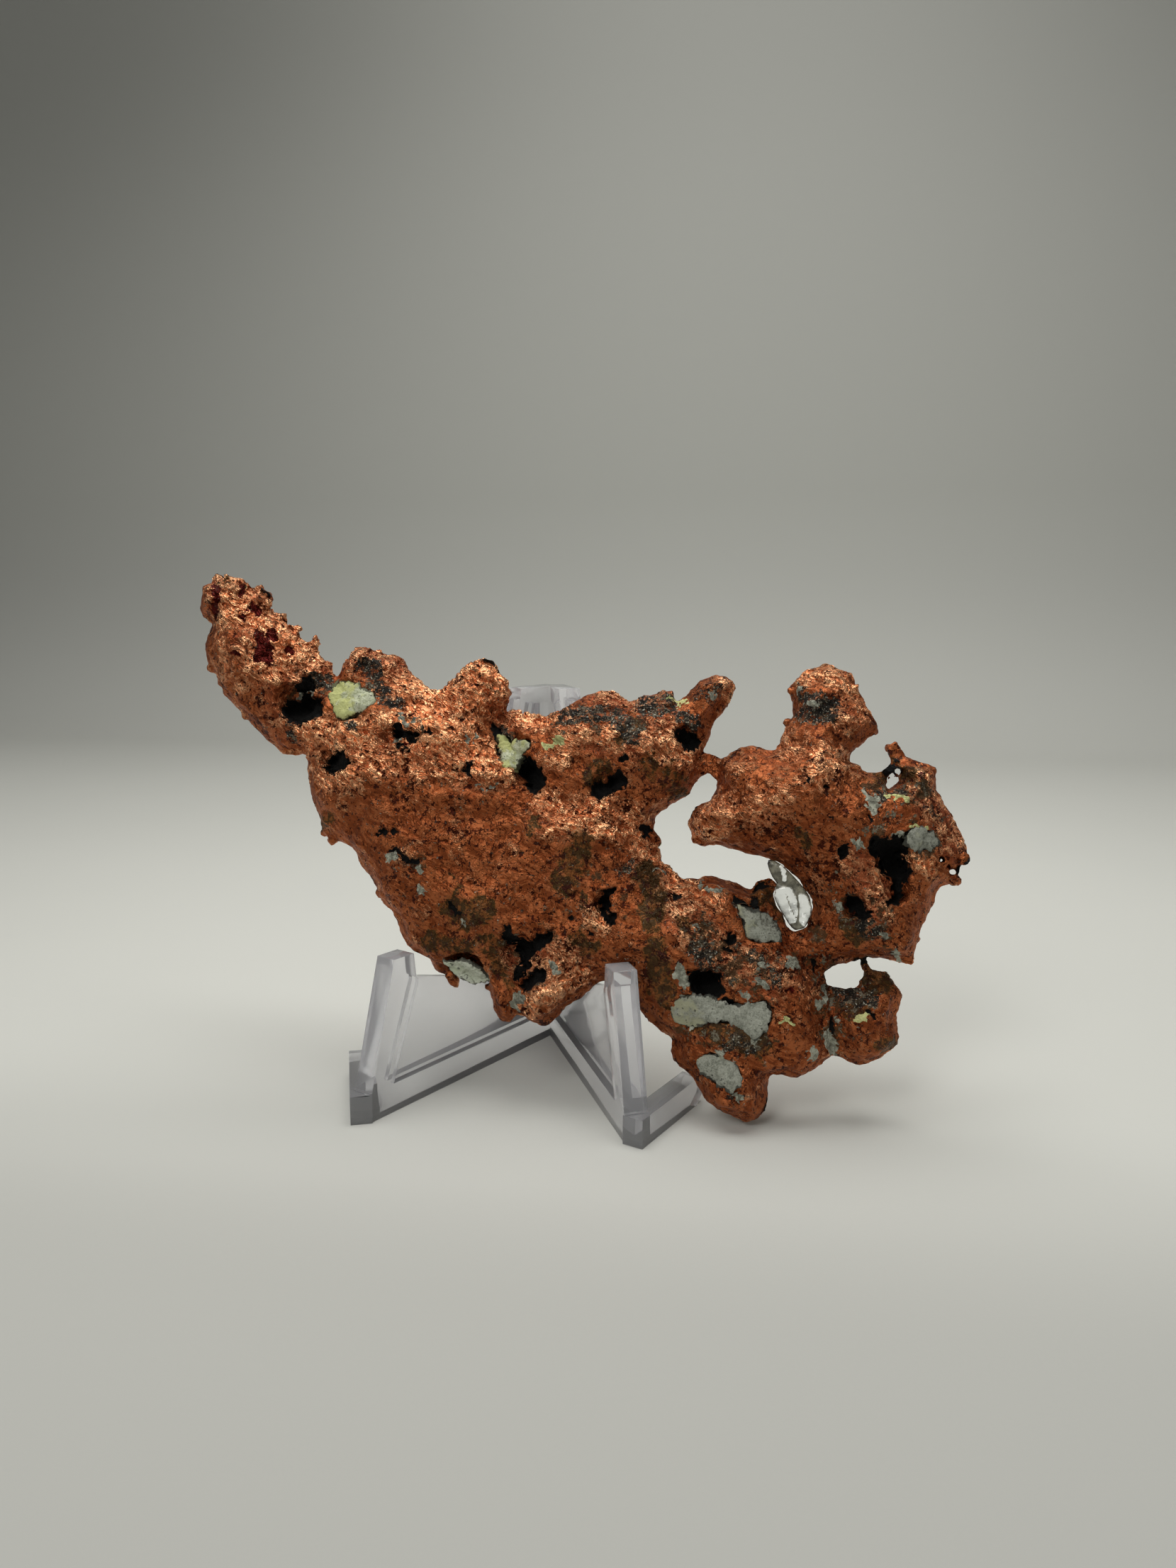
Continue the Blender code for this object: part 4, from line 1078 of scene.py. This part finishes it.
@dataclass(frozen=True)
class PaperFinish:
    """The matt paper of the floor and backdrop, with painted shade: a little darker up the wall and towards
    the front edge.
    """

    tone: Colour = (0.705, 0.71, 0.665)
    cloud_shade: float = 0.985
    wall_shade: float = 0.84
    front_shade: float = 0.76
    # Metres up the wall and before the stone by which the paper takes its painted shade.
    wall_reach: float = 0.12
    front_reach: float = 0.07
    roughness: float = 0.75
    specular: float = 0.2
    grain_depth: float = 0.02

    def material(self) -> bpy.types.Material:
        """Build the paper material.

        Returns:
            The material.
        """
        r = Recipe("pale paper")
        clouds = r.noise(0.006, 3.0).step(0.3, 0.7)
        apart = r.node("ShaderNodeSeparateXYZ", {}, {"Vector": r.place}).outputs
        up_wall = Sock(r, apart["Z"]).step(0.0, self.wall_reach)
        nearer = Sock(r, apart["Y"]).step(0.0, -self.front_reach)
        paper = r.mix(clouds, shade(self.tone, self.cloud_shade), self.tone)
        # Painted shade: darker up the wall and, on the floor, towards the front edge.
        paper = r.mix(up_wall, paper, shade(self.tone, self.wall_shade))
        r.set(
            Base_Color=r.mix(nearer, paper, shade(self.tone, self.front_shade)),
            Roughness=self.roughness + clouds * 0.1,
            Specular_IOR_Level=self.specular,
            Normal=r.bump(r.noise(1.5, 3.0), self.grain_depth),
        )
        return r.material


# Pieces


@dataclass(frozen=True)
class Nub:
    """A small copper knob on the plate: its place, radius and height before the middle, in millimetres."""

    u: float
    v: float
    radius: float
    h: float = 0.0


@dataclass(frozen=True)
class Pinhole:
    """A small round hole right through the copper: its place and radius, in millimetres."""

    u: float
    v: float
    radius: float


@dataclass(frozen=True)
class Scatter:
    """How one kind of mark lies scattered: how many, and their radii and half length in millimetres."""

    count: int
    least: float
    most: float
    run: float


BACK_SCATTER = {
    Mark.HOLLOW: Scatter(34, 0.4, 1.5, 1.6),
    Mark.ASH_STONE: Scatter(26, 0.4, 1.1, 1.5),
    Mark.LIME_STONE: Scatter(9, 0.4, 1.0, 1.5),
    Mark.CRUST: Scatter(16, 0.8, 1.9, 3.0),
    Mark.STAIN: Scatter(22, 1.0, 2.6, 3.0),
    Mark.RED_PIT: Scatter(12, 0.4, 1.2, 1.0),
    Mark.BURNISH: Scatter(26, 1.3, 3.4, 7.0),
    Mark.GRAIN: Scatter(18, 1.8, 4.0, 6.0),
    Mark.MIXED: Scatter(14, 1.2, 3.0, 4.0),
}
# How soft the edge of each kind of mark is, as a share of its radius.
PLAIN_SOFTNESS = 0.25
SOFTNESS = {Mark.STAIN: 0.55, Mark.GRAIN: 0.55, Mark.BURNISH: 1.0}


@dataclass(frozen=True)
class Relief:
    """The copper's relief: how far each kind of surface stands out, in millimetres."""

    swell: float = 0.38
    ripple: float = 0.11
    ridge: float = 0.30
    fold: float = 0.20
    burnished_fold: float = 0.75
    burnished_ridge: float = 0.95
    burnished_ripple: float = 0.28
    grain: float = 1.05
    fine_grain: float = 0.60
    rock: float = 0.40
    stone: float = 0.12
    stain_sunk: float = 0.10
    pit_sunk: float = 0.45

    def rise(self, points: np.ndarray, plate: np.ndarray, marks: dict[Mark, np.ndarray]) -> np.ndarray:
        """How far the surface stands out of the smooth body.

        Args:
            points: Rows of x, y, z in millimetres.
            plate: The same points as rows of u, v, h.
            marks: How strongly each mark covers each point.

        Returns:
            A height in millimetres for each point.
        """
        grain, burnish = marks[Mark.GRAIN], marks[Mark.BURNISH]
        stones = np.maximum(marks[Mark.ASH_STONE], marks[Mark.LIME_STONE])
        rocky = np.maximum(marks[Mark.CRUST], marks[Mark.MIXED])
        ridges, folds = self._ridges(plate), self._folds(plate)
        rise = self.swell * cloud(points, 0.20, 1.0, 3) + self.ripple * cloud(points, 0.8, 2.0, 3)
        rise += self.ridge * ridges
        rise += (self.fold + self.burnished_fold * burnish) * folds
        coarse, fine = knobs(points, 0.50, 3.0, 2) - 0.35, knobs(points, 1.2, 4.0, 2) - 0.35
        rise += grain * (self.grain * coarse + self.fine_grain * fine)
        rise += burnish * (self.burnished_ridge * ridges + self.burnished_ripple * cloud(points, 1.1, 6.0, 2))
        rise += rocky * self.rock * (knobs(points, 1.0, 7.0, 2) - 0.4)
        sunk = marks[Mark.STAIN] * self.stain_sunk
        rise += stones * self.stone - sunk - marks[Mark.RED_PIT] * self.pit_sunk
        return rise

    def _ridges(self, plate: np.ndarray) -> np.ndarray:
        """Raise wandering sharp ridges, about 3 mm apart.

        Args:
            plate: Rows of u, v, h.

        Returns:
            Their height about its middle, as a share.
        """
        wavy = plate * np.array([0.7, 1.2, 1.0]) + plate[:, [1, 0, 2]] * np.array([0.35, 0.25, 0.0])
        return 1.0 - np.abs(cloud(wavy, 0.30, 5.0, 4)) - 0.75

    def _folds(self, plate: np.ndarray) -> np.ndarray:
        """Raise broad folds that slant down to the right.

        Args:
            plate: Rows of u, v, h.

        Returns:
            Their height about its middle, as a share.
        """
        u, v, h = plate.T
        slant = np.stack([0.55 * (u + 0.9 * v), 0.35 * u - 1.2 * v, h], axis=1)
        return 1.0 - np.abs(1.4 * cloud(slant, 0.13, 9.0, 2)) - 0.7


@dataclass
class Nugget:
    """The copper itself, with everything that grew as one piece with it."""

    name: str = "nugget_skin"
    node: str = "copper_nugget"
    voxel: float = 0.36
    most_triangles: int = 192_000
    wire_radius: float = 0.55
    wire_height: float = -1.0
    wire_wave: float = 0.5
    pin_sides: int = 7
    pin_length: float = 20.0
    # The shifts that make painted edges ragged: waves to a millimetre, and reach in millimetres.
    wide_shake: tuple[float, float] = (0.45, 1.0)
    small_shake: tuple[float, float] = (1.5, 0.75)
    # The skin counts as front by how far it faces forward, from none of it to all.
    front_turn: tuple[float, float] = (-0.25, 0.15)
    # A hollow is painted black, as painted shade, between these depths, in millimetres, and its wall takes
    # this share of its radius.
    black_depths: tuple[float, float] = (0.15, 0.9)
    hollow_softness: float = 0.3
    # The back's hollows: their depth in radii. The back's strokes: their sideways bend, and their strengths.
    back_depth: float = 1.4
    back_bend: float = 0.35
    back_amounts: tuple[float, float] = (0.6, 1.0)
    nubs: tuple[Nub, ...] = (
        Nub(-41.6, 80.9, 1.1), Nub(-43.1, 80.2, 0.9), Nub(-41.3, 78.6, 0.9), Nub(-45.2, 83.0, 1.0),
        Nub(-46.6, 83.2, 0.9, 0.8), Nub(-48.3, 85.0, 1.1), Nub(-49.6, 85.6, 0.8, -0.8),
        Nub(-51.6, 89.0, 1.2), Nub(-51.0, 87.4, 0.9, 1.0), Nub(-53.4, 90.2, 1.2),
        Nub(-55.6, 90.9, 0.9, 0.8), Nub(-57.4, 91.6, 1.2), Nub(-59.6, 92.4, 0.9, 1.0),
        Nub(-61.8, 92.6, 1.1), Nub(-63.6, 90.4, 1.0, 0.6), Nub(-38.6, 76.2, 0.8), Nub(-33.1, 78.9, 0.9),
        Nub(-30.6, 78.8, 0.8, 0.6), Nub(-29.0, 78.8, 0.8), Nub(-25.0, 77.3, 0.8), Nub(-24.0, 75.9, 0.7),
        Nub(-35.2, 76.0, 0.7), Nub(-36.0, 74.4, 0.7), Nub(-22.6, 74.2, 0.6), Nub(-61.5, 75.4, 0.9),
        Nub(-59.4, 72.6, 0.8), Nub(-56.9, 70.2, 0.9), Nub(-54.0, 66.6, 0.9), Nub(-37.2, 45.5, 0.9),
        Nub(-35.0, 44.2, 1.0, 0.6), Nub(-25.8, 35.0, 1.1), Nub(-24.6, 34.2, 0.8, 0.8),
        Nub(-11.8, 21.4, 1.0, 0.6), Nub(-11.4, 20.4, 0.9, 0.6), Nub(-5.2, 19.6, 0.8),
        Nub(-2.6, 67.2, 0.9, 0.6), Nub(-3.0, 66.3, 0.8, 1.0), Nub(-0.4, 67.3, 0.7, 0.8),
        Nub(1.4, 67.4, 0.7), Nub(-11.4, 76.6, 0.8), Nub(-7.6, 76.4, 0.9), Nub(-5.6, 73.8, 0.8),
        Nub(-4.6, 71.4, 0.8), Nub(-4.8, 69.6, 0.8), Nub(24.6, 71.6, 0.8), Nub(45.2, 72.6, 0.7),
        Nub(45.0, 67.0, 0.7), Nub(54.8, 75.3, 0.8), Nub(56.2, 73.6, 0.8), Nub(59.2, 65.8, 0.9),
        Nub(57.6, 64.7, 0.7), Nub(61.8, 63.0, 0.8), Nub(72.6, 41.2, 1.1), Nub(71.6, 41.8, 0.8, -1.0),
        Nub(73.7, 45.0, 1.2), Nub(73.2, 47.4, 1.0), Nub(59.2, 25.2, 0.8, -1.0), Nub(61.2, 25.0, 0.9, -1.2),
        Nub(62.2, 24.0, 0.9, -1.4), Nub(60.2, 23.6, 1.0, -1.0), Nub(58.2, 23.8, 0.7, -1.0),
        Nub(31.6, 60.6, 0.8), Nub(33.0, 58.8, 0.9), Nub(42.2, 39.6, 0.8, -1.6), Nub(23.3, 45.9, 0.7),
        Nub(62.5, 56.4, 0.5), Nub(62.9, 58.3, 0.5), Nub(61.8, 57.9, 0.4),
    )
    wires: tuple[tuple[Spot, ...], ...] = (
        (
            (58.1, 28.4), (58.2, 27.2), (58.7, 26.2), (59.5, 25.4),
            (61.1, 25.5), (61.8, 25.2), (62.4, 24.5), (62.4, 23.2),
        ),
        ((59.5, 25.6), (59.5, 24.6), (59.1, 23.4), (59.3, 22.6)),
        ((57.9, 22.8), (57.9, 24.0), (58.3, 24.6), (58.7, 23.8), (58.8, 22.8)),
    )
    pinholes: tuple[Pinhole, ...] = (
        Pinhole(70.4, 44.6, 0.60), Pinhole(72.2, 42.6, 0.70), Pinhole(71.5, 43.5, 0.50),
        Pinhole(61.9, 56.6, 0.55), Pinhole(62.7, 57.9, 0.60), Pinhole(63.3, 59.0, 0.50),
    )
    relief: Relief = Relief()
    marks: dict[Mark, np.ndarray] = field(default_factory=dict, init=False)
    crest: np.ndarray = field(default_factory=lambda: np.zeros(0), init=False)

    def build(self) -> None:
        """Fuse the copy, nubs and wires, remesh them, carve and roughen the surface, and dress it."""
        obj = merged_copy(self.node, self.name)
        self._pierce(obj)
        self._join_growths(obj)
        apply_modifier(obj, "REMESH", mode="VOXEL", voxel_size=self.voxel * MM)
        self._carve(obj)
        self._thin(obj)
        select_only(obj)
        bpy.ops.object.shade_smooth()
        for mark, values in self.marks.items():
            store(obj, mark.value, values)
        # The crest attribute feeds painted light on crests and painted shade in creases.
        store(obj, "crest", self.crest)
        finish_piece(obj, CopperFinish().material(), self.node)

    def _pierce(self, obj: bpy.types.Object) -> None:
        """Cut the pinholes through the copper, each along the line of sight from the front.

        Args:
            obj: The copper.
        """
        for hole in self.pinholes:
            place = PLATE.in_frame(hole.u, hole.v, 0.0)
            sight = (place - EYE).to_track_quat("Z", "Y").to_euler()
            bpy.ops.object.select_all(action="DESELECT")
            radius, length = hole.radius * MM, self.pin_length * MM
            bpy.ops.mesh.primitive_cylinder_add(
                vertices=self.pin_sides, radius=radius, depth=length, location=place, rotation=sight
            )
            pin = bpy.context.object
            apply_modifier(obj, "BOOLEAN", object=pin, operation="DIFFERENCE", solver="EXACT")
            bpy.data.objects.remove(pin, do_unlink=True)

    def _join_growths(self, obj: bpy.types.Object) -> None:
        """Add the nubs and wires to the copper's mesh.

        Args:
            obj: The copper.
        """
        growths = []
        for nub in self.nubs:
            bpy.ops.object.select_all(action="DESELECT")
            place = PLATE.in_frame(nub.u, nub.v, nub.h)
            bpy.ops.mesh.primitive_ico_sphere_add(subdivisions=2, radius=nub.radius * MM, location=place)
            growths.append(bpy.context.object)
        growths += [self._wire(path) for path in self.wires]
        select_only(obj)
        for growth in growths:
            growth.select_set(True)
        bpy.ops.object.join()

    def _wire(self, path: tuple[Spot, ...]) -> bpy.types.Object:
        """Draw one wire of copper as a mesh tube along a smooth path.

        Args:
            path: Its spots on the plate; their heights wave to and fro.

        Returns:
            The wire's mesh object.
        """
        bpy.ops.object.select_all(action="DESELECT")
        bpy.ops.curve.primitive_nurbs_path_add()
        wire = bpy.context.object
        spline = wire.data.splines[0]
        spline.points.add(max(0, len(path) - len(spline.points)))
        heights = [self.wire_height - self.wire_wave * math.sin(1.7 * i) for i in range(len(path))]
        places = [PLATE.in_frame(u, v, h) for (u, v), h in zip(path, heights)]
        places += [places[-1]] * (len(spline.points) - len(places))
        for point, place in zip(spline.points, places):
            point.co = (*place, 1.0)
        wire.data.bevel_depth = self.wire_radius * MM
        wire.data.bevel_resolution = 2
        wire.data.use_fill_caps = True
        bpy.ops.object.convert(target="MESH")
        return bpy.context.object

    def _carve(self, obj: bpy.types.Object) -> None:
        """Paint the marks, sink the hollows and raise the relief.

        Args:
            obj: The remeshed copper.
        """
        places, normals = vertex_rows(obj, "co"), vertex_rows(obj, "normal")
        plate = PLATE.on_plate(places)
        front = eased(*self.front_turn, normals @ PLATE.forward)
        back = 1 - front
        shake = (shaken(plate, *self.wide_shake) + shaken(plate, *self.small_shake))[:, :2]
        seen = PLATE.sighted(plate, PLATE.on_plate(np.array([EYE]))[0]) + shake
        spots = plate[:, :2] + shake
        behind = self._back_marks(plate[front < 0.5])
        depth_front, depth_back = self._depth(seen, HOLLOWS), self._depth(spots, behind[Mark.HOLLOW])
        black_front, black_back = (eased(*self.black_depths, depth) for depth in (depth_front, depth_back))
        # The hollow attribute holds painted shade: how black each hollow is painted by its depth.
        self.marks = {Mark.HOLLOW: front * black_front + back * black_back}
        for mark, ahead in FRONT_MARKS.items():
            soft = SOFTNESS.get(mark, PLAIN_SOFTNESS)
            self.marks[mark] = front * painted(seen, ahead, soft) + back * painted(spots, behind[mark], soft)
        points = places / MM
        moved = points + normals * self.relief.rise(points, plate, self.marks)[:, None]
        moved += PLATE.forward * (back * depth_back - front * depth_front)[:, None]
        set_vertex_places(obj, moved * MM)
        self.crest = crests(obj)

    def _thin(self, obj: bpy.types.Object) -> None:
        """Thin the mesh to its limit; each vertex left keeps the marks of the nearest one before.

        Args:
            obj: The carved copper.
        """
        before = vertex_rows(obj, "co")
        tree = kdtree.KDTree(len(before))
        for index, place in enumerate(before):
            tree.insert(place, index)
        tree.balance()
        triangles = sum(len(polygon.vertices) - 2 for polygon in obj.data.polygons)
        apply_modifier(obj, "DECIMATE", ratio=self.most_triangles / triangles, use_collapse_triangulate=True)
        nearest = np.array([tree.find(place)[1] for place in vertex_rows(obj, "co")])
        self.marks = {mark: values[nearest] for mark, values in self.marks.items()}
        self.crest = self.crest[nearest]

    def _depth(self, spots: np.ndarray, hollows: tuple[Stroke, ...]) -> np.ndarray:
        """How deep the hollows go.

        Args:
            spots: Rows of u, v.
            hollows: The hollows, each with its depth as the amount.

        Returns:
            A depth in millimetres for each spot.
        """
        total = np.zeros(len(spots))
        for hollow in hollows:
            cover = painted(spots, (Stroke(hollow.radius, hollow.path),), self.hollow_softness)
            total = np.maximum(total, hollow.amount * cover)
        return total

    def _back_marks(self, plate: np.ndarray) -> dict[Mark, tuple[Stroke, ...]]:
        """Scatter marks over the nugget's back, the same way each time.

        Args:
            plate: Rows of u, v, h on the back.

        Returns:
            The strokes of each kind of mark.
        """
        rng = np.random.default_rng(NOISE_SEED)
        made = {}
        for mark, plan in BACK_SCATTER.items():
            scattered = []
            for centre in plate[rng.integers(0, len(plate), plan.count), :2]:
                turn = rng.uniform(0.0, math.tau)
                step = plan.run * rng.uniform(0.2, 1.0) * np.array([math.cos(turn), math.sin(turn)])
                side = self.back_bend * rng.uniform(-1, 1) * np.array([-step[1], step[0]])
                path = (tuple(centre - step), tuple(centre + side), tuple(centre + step))
                radius = rng.uniform(plan.least, plan.most)
                amount = self.back_depth * radius if mark is Mark.HOLLOW else rng.uniform(*self.back_amounts)
                scattered.append(Stroke(radius, path, amount))
            made[mark] = tuple(scattered)
        return made


@dataclass
class Stones:
    """The stones that sit in the copper's pockets, and which finish each has."""

    voxel: float = 0.24
    # How far the skin swells along the face, and its lobes and teeth, in millimetres.
    spread: float = 0.42
    lobes: float = 0.95
    teeth: float = 0.50
    # How far the skin stands proud of the face, and its swells and grains, in millimetres.
    proud: float = 0.05
    swells: float = 0.10
    grains: float = 0.16
    # The skin counts as rim by how far it faces forward, from none of it to all.
    rim_turn: tuple[float, float] = (0.80, 0.20)
    lime: tuple[str, ...] = ("stone_upper_left", "stone_top_notch")
    ashen: tuple[str, ...] = ("stone_middle_band", "stone_triangle", "stone_tip_patch", "stone_right_side")
    pale: tuple[str, ...] = ("stone_lower_edge",)
    # A thin stone's sides drawn in to a share of its width and height, then leant over.
    thin: str = "stone_lower_edge"
    thin_width: float = 0.80
    thin_height: float = 0.66
    thin_lean: float = 0.75

    def build(self) -> None:
        """Make a rough skin for each stone."""
        for names, finish in ((self.lime, LIMEY), (self.ashen, ASHEN), (self.pale, PALE)):
            material = finish.material()
            for node in names:
                finish_piece(self._skin(node), material, node)

    def _skin(self, node: str) -> bpy.types.Object:
        """Make a swollen, roughened copy of one stone.

        Args:
            node: The stone's CAD node.

        Returns:
            The skin, with "rim" and "side" attributes for its material.
        """
        obj = remeshed_copy(node, node + "_skin", self.voxel)
        places = vertex_rows(obj, "co") / MM
        ahead, along = PLATE.parted(vertex_rows(obj, "normal"))
        spread = self.spread + self.lobes * cloud(places, 0.40, 11.0, 3)
        spread += self.teeth * cloud(places, 1.2, 13.0, 3)
        proud = self.proud + self.swells * cloud(places, 0.5, 16.0, 2)
        proud += self.grains * (knobs(places, 1.3, 12.0, 2) - 0.4)
        moved = places + along * spread[:, None] + PLATE.forward * (ahead * proud)[:, None]
        if node == self.thin:
            moved = self._thinned(moved)
        set_vertex_places(obj, moved * MM)
        store(obj, "rim", eased(*self.rim_turn, ahead))
        store(obj, "side", (places[:, 0] - places[:, 0].min()) / np.ptp(places[:, 0]))
        select_only(obj)
        bpy.ops.object.shade_smooth()
        return obj

    def _thinned(self, places: np.ndarray) -> np.ndarray:
        """Draw in a stone's width and height about its middle, and lean it over to the right below.

        Args:
            places: Rows of x, y, z in millimetres.

        Returns:
            The new rows.
        """
        middle = (places.min(axis=0) + places.max(axis=0)) / 2
        away = (places - middle) * np.array([self.thin_width, 1.0, self.thin_height])
        away[:, 0] -= self.thin_lean * away[:, 2]
        return middle + away


@dataclass
class Calcite:
    """The clear film in the window beside the bay, with its bright bands."""

    voxel: float = 0.26
    spread: float = 0.55
    # Heights in millimetres: a bright band, the sunk face between bands, and the waves over all.
    band_rise: float = 0.12
    sunk: float = 0.05
    wave: float = 0.16
    band_softness: float = 0.35
    streak_softness: float = 0.5
    # The shift that makes the bands' edges ragged: waves to a millimetre, and reach in millimetres.
    shake: tuple[float, float] = (1.1, 0.12)
    bands: tuple[Stroke, ...] = strokes(
        (1.55, 1.0, (45.4, 37.4), (46.2, 36.0), (47.0, 34.8)),
        (0.62, 1.0, (47.9, 37.3), (48.5, 35.6), (48.3, 33.6)),
        (0.26, 1.0, (44.3, 42.6), (44.9, 41.2), (45.2, 40.2)),
    )
    streaks: tuple[Stroke, ...] = strokes(
        (0.20, 1.0, (46.3, 39.2), (47.2, 37.4), (47.6, 35.2), (47.4, 33.2)),
        (0.10, 1.0, (45.6, 37.8), (46.3, 35.8), (47.0, 34.2)),
    )

    def build(self) -> None:
        """Make the film's wavy skin."""
        obj = remeshed_copy("clear_calcite", "calcite_film", self.voxel)
        places = vertex_rows(obj, "co") / MM
        ahead, along = PLATE.parted(vertex_rows(obj, "normal"))
        plate = PLATE.on_plate(places * MM)
        spots = plate[:, :2] + shaken(plate, *self.shake)[:, :2]
        band = painted(spots, self.bands, self.band_softness)
        band = band - painted(spots, self.streaks, self.streak_softness)
        rise = ahead * (self.band_rise * band - self.sunk + self.wave * cloud(places, 0.5, 15.0, 2))
        set_vertex_places(obj, (places + along * self.spread + PLATE.forward * rise[:, None]) * MM)
        store(obj, "bright_band", band)
        select_only(obj)
        bpy.ops.object.shade_smooth()
        finish_piece(obj, FilmFinish().material(), "clear_calcite")


@dataclass
class Easel:
    """The clear acrylic easel, with its edges eased."""

    edge: float = 0.22
    # Angles between faces: joined as one flat face, rounded, and shaded smooth up to.
    flat_angle: float = math.radians(1.0)
    eased_angle: float = math.radians(25.0)
    smooth_angle: float = math.radians(35.0)

    def build(self) -> None:
        """Make the easel from its CAD solid with small rounded edges."""
        obj = merged_copy("display_stand", "easel_acrylic")
        select_only(obj)
        bpy.ops.object.mode_set(mode="EDIT")
        bpy.ops.mesh.select_all(action="SELECT")
        bpy.ops.mesh.dissolve_limited(angle_limit=self.flat_angle)
        bpy.ops.object.mode_set(mode="OBJECT")
        apply_modifier(
            obj, "BEVEL", width=self.edge * MM, segments=2, limit_method="ANGLE",
            angle_limit=self.eased_angle, use_clamp_overlap=True,
        )
        select_only(obj)
        bpy.ops.object.shade_smooth_by_angle(angle=self.smooth_angle)
        finish_piece(obj, AcrylicFinish().material(), "display_stand")


@dataclass(frozen=True)
class Lamp:
    """A soft rectangular lamp: its place, what it faces, its sides in metres, watts and spread in degrees."""

    name: str
    place: Place
    faces: Place
    width: float
    depth: float
    watts: float
    spread: float
    tint: Colour = (1.0, 0.99, 0.965)

    def hang(self) -> None:
        """Add the lamp to the scene."""
        light = bpy.data.lights.new(self.name, "AREA")
        light.shape = "RECTANGLE"
        light.size, light.size_y = self.width, self.depth
        light.energy = self.watts
        light.spread = math.radians(self.spread)
        light.color = self.tint
        item = bpy.data.objects.new(self.name, light)
        item.location = self.place
        item.rotation_euler = (Vector(self.faces) - Vector(self.place)).to_track_quat("-Z", "Y").to_euler()
        bpy.context.scene.collection.objects.link(item)


@dataclass
class Studio:
    """The paper sweep, the soft light and the camera."""

    floor_front: float = -1.2
    floor_back: float = 0.46
    sweep_radius: float = 0.16
    sweep_steps: int = 24
    half_width: float = 1.3
    wall_top: float = 1.4
    lamps: tuple[Lamp, ...] = (
        Lamp("overhead", (0.0, 0.085, 0.60), (0.0, 0.085, 0.0), 0.55, 0.44, 1.98, 150.0),
        Lamp("wall wash", (0.0, 0.25, 0.95), (0.0, 0.62, 0.62), 0.35, 0.35, 0.36, 70.0),
        Lamp("front fill", (-0.16, -0.46, 0.46), (0.0, 0.0, 0.05), 0.26, 0.26, 0.090, 45.0),
    )
    ambient: Colour = (0.165, 0.165, 0.161)
    yaw: float = math.radians(10.02)
    pitch: float = math.radians(-9.0)
    focal_pixels: float = 1610.0
    picture_height: float = 2212.0
    sensor: float = 36.0
    nearest: float = 0.01

    def build(self) -> None:
        """Make the stage, lights, world and camera."""
        self._sweep()
        self._lights()
        self._camera()
        bpy.context.scene.view_settings.view_transform = "Standard"

    def _sweep(self) -> None:
        """Extrude the floor's edge back and up into a curved backdrop."""
        bpy.ops.object.select_all(action="DESELECT")
        bpy.ops.mesh.primitive_plane_add(size=1.0)
        sweep = bpy.context.object
        sweep.name = "paper_sweep"
        corners = [(-1, self.floor_front), (1, self.floor_front), (-1, self.floor_back), (1, self.floor_back)]
        for vertex, (side, y) in zip(sweep.data.vertices, corners):
            vertex.co = (side * self.half_width, y, 0.0)
        bpy.ops.object.mode_set(mode="EDIT")
        bpy.ops.mesh.select_all(action="DESELECT")
        bpy.ops.object.mode_set(mode="OBJECT")
        for edge in sweep.data.edges:
            ends = [sweep.data.vertices[i].co.y for i in edge.vertices]
            edge.select = min(ends) > self.floor_back - MM
        bpy.ops.object.mode_set(mode="EDIT")
        turns = [math.pi / 2 * i / self.sweep_steps for i in range(self.sweep_steps + 1)]
        arc = [(self.sweep_radius * math.sin(t), self.sweep_radius * (1 - math.cos(t))) for t in turns]
        arc.append((arc[-1][0], self.wall_top))
        for (y0, z0), (y1, z1) in zip(arc[:-1], arc[1:]):
            bpy.ops.mesh.extrude_region_move(TRANSFORM_OT_translate={"value": (0.0, y1 - y0, z1 - z0)})
        bpy.ops.object.mode_set(mode="OBJECT")
        bpy.ops.object.shade_smooth()
        sweep.data.materials.append(PaperFinish().material())

    def _lights(self) -> None:
        """Hang the soft lamps and fill the room with grey."""
        for lamp in self.lamps:
            lamp.hang()
        world = bpy.data.worlds.new("grey room")
        world.use_nodes = True
        world.node_tree.nodes["Background"].inputs["Color"].default_value = (*self.ambient, 1.0)
        bpy.context.scene.world = world

    def _camera(self) -> None:
        """Set the camera at its place, heading and pitch."""
        camera = bpy.data.cameras.new("camera")
        camera.sensor_width = self.sensor
        camera.lens = self.focal_pixels / self.picture_height * self.sensor
        camera.clip_start = self.nearest
        item = bpy.data.objects.new("camera", camera)
        item.matrix_world = (
            Matrix.Translation(EYE)
            @ Matrix.Rotation(self.yaw, 4, "Z")
            @ Matrix.Rotation(math.pi / 2 + self.pitch, 4, "X")
        )
        bpy.context.scene.collection.objects.link(item)
        bpy.context.scene.camera = item


def main() -> None:
    """Build the studio, then every piece."""
    logging.basicConfig(level=logging.INFO, format="%(name)s %(message)s")
    noise.seed_set(NOISE_SEED)
    Studio().build()
    Easel().build()
    Nugget().build()
    Stones().build()
    Calcite().build()


if __name__ == "__main__":
    main()
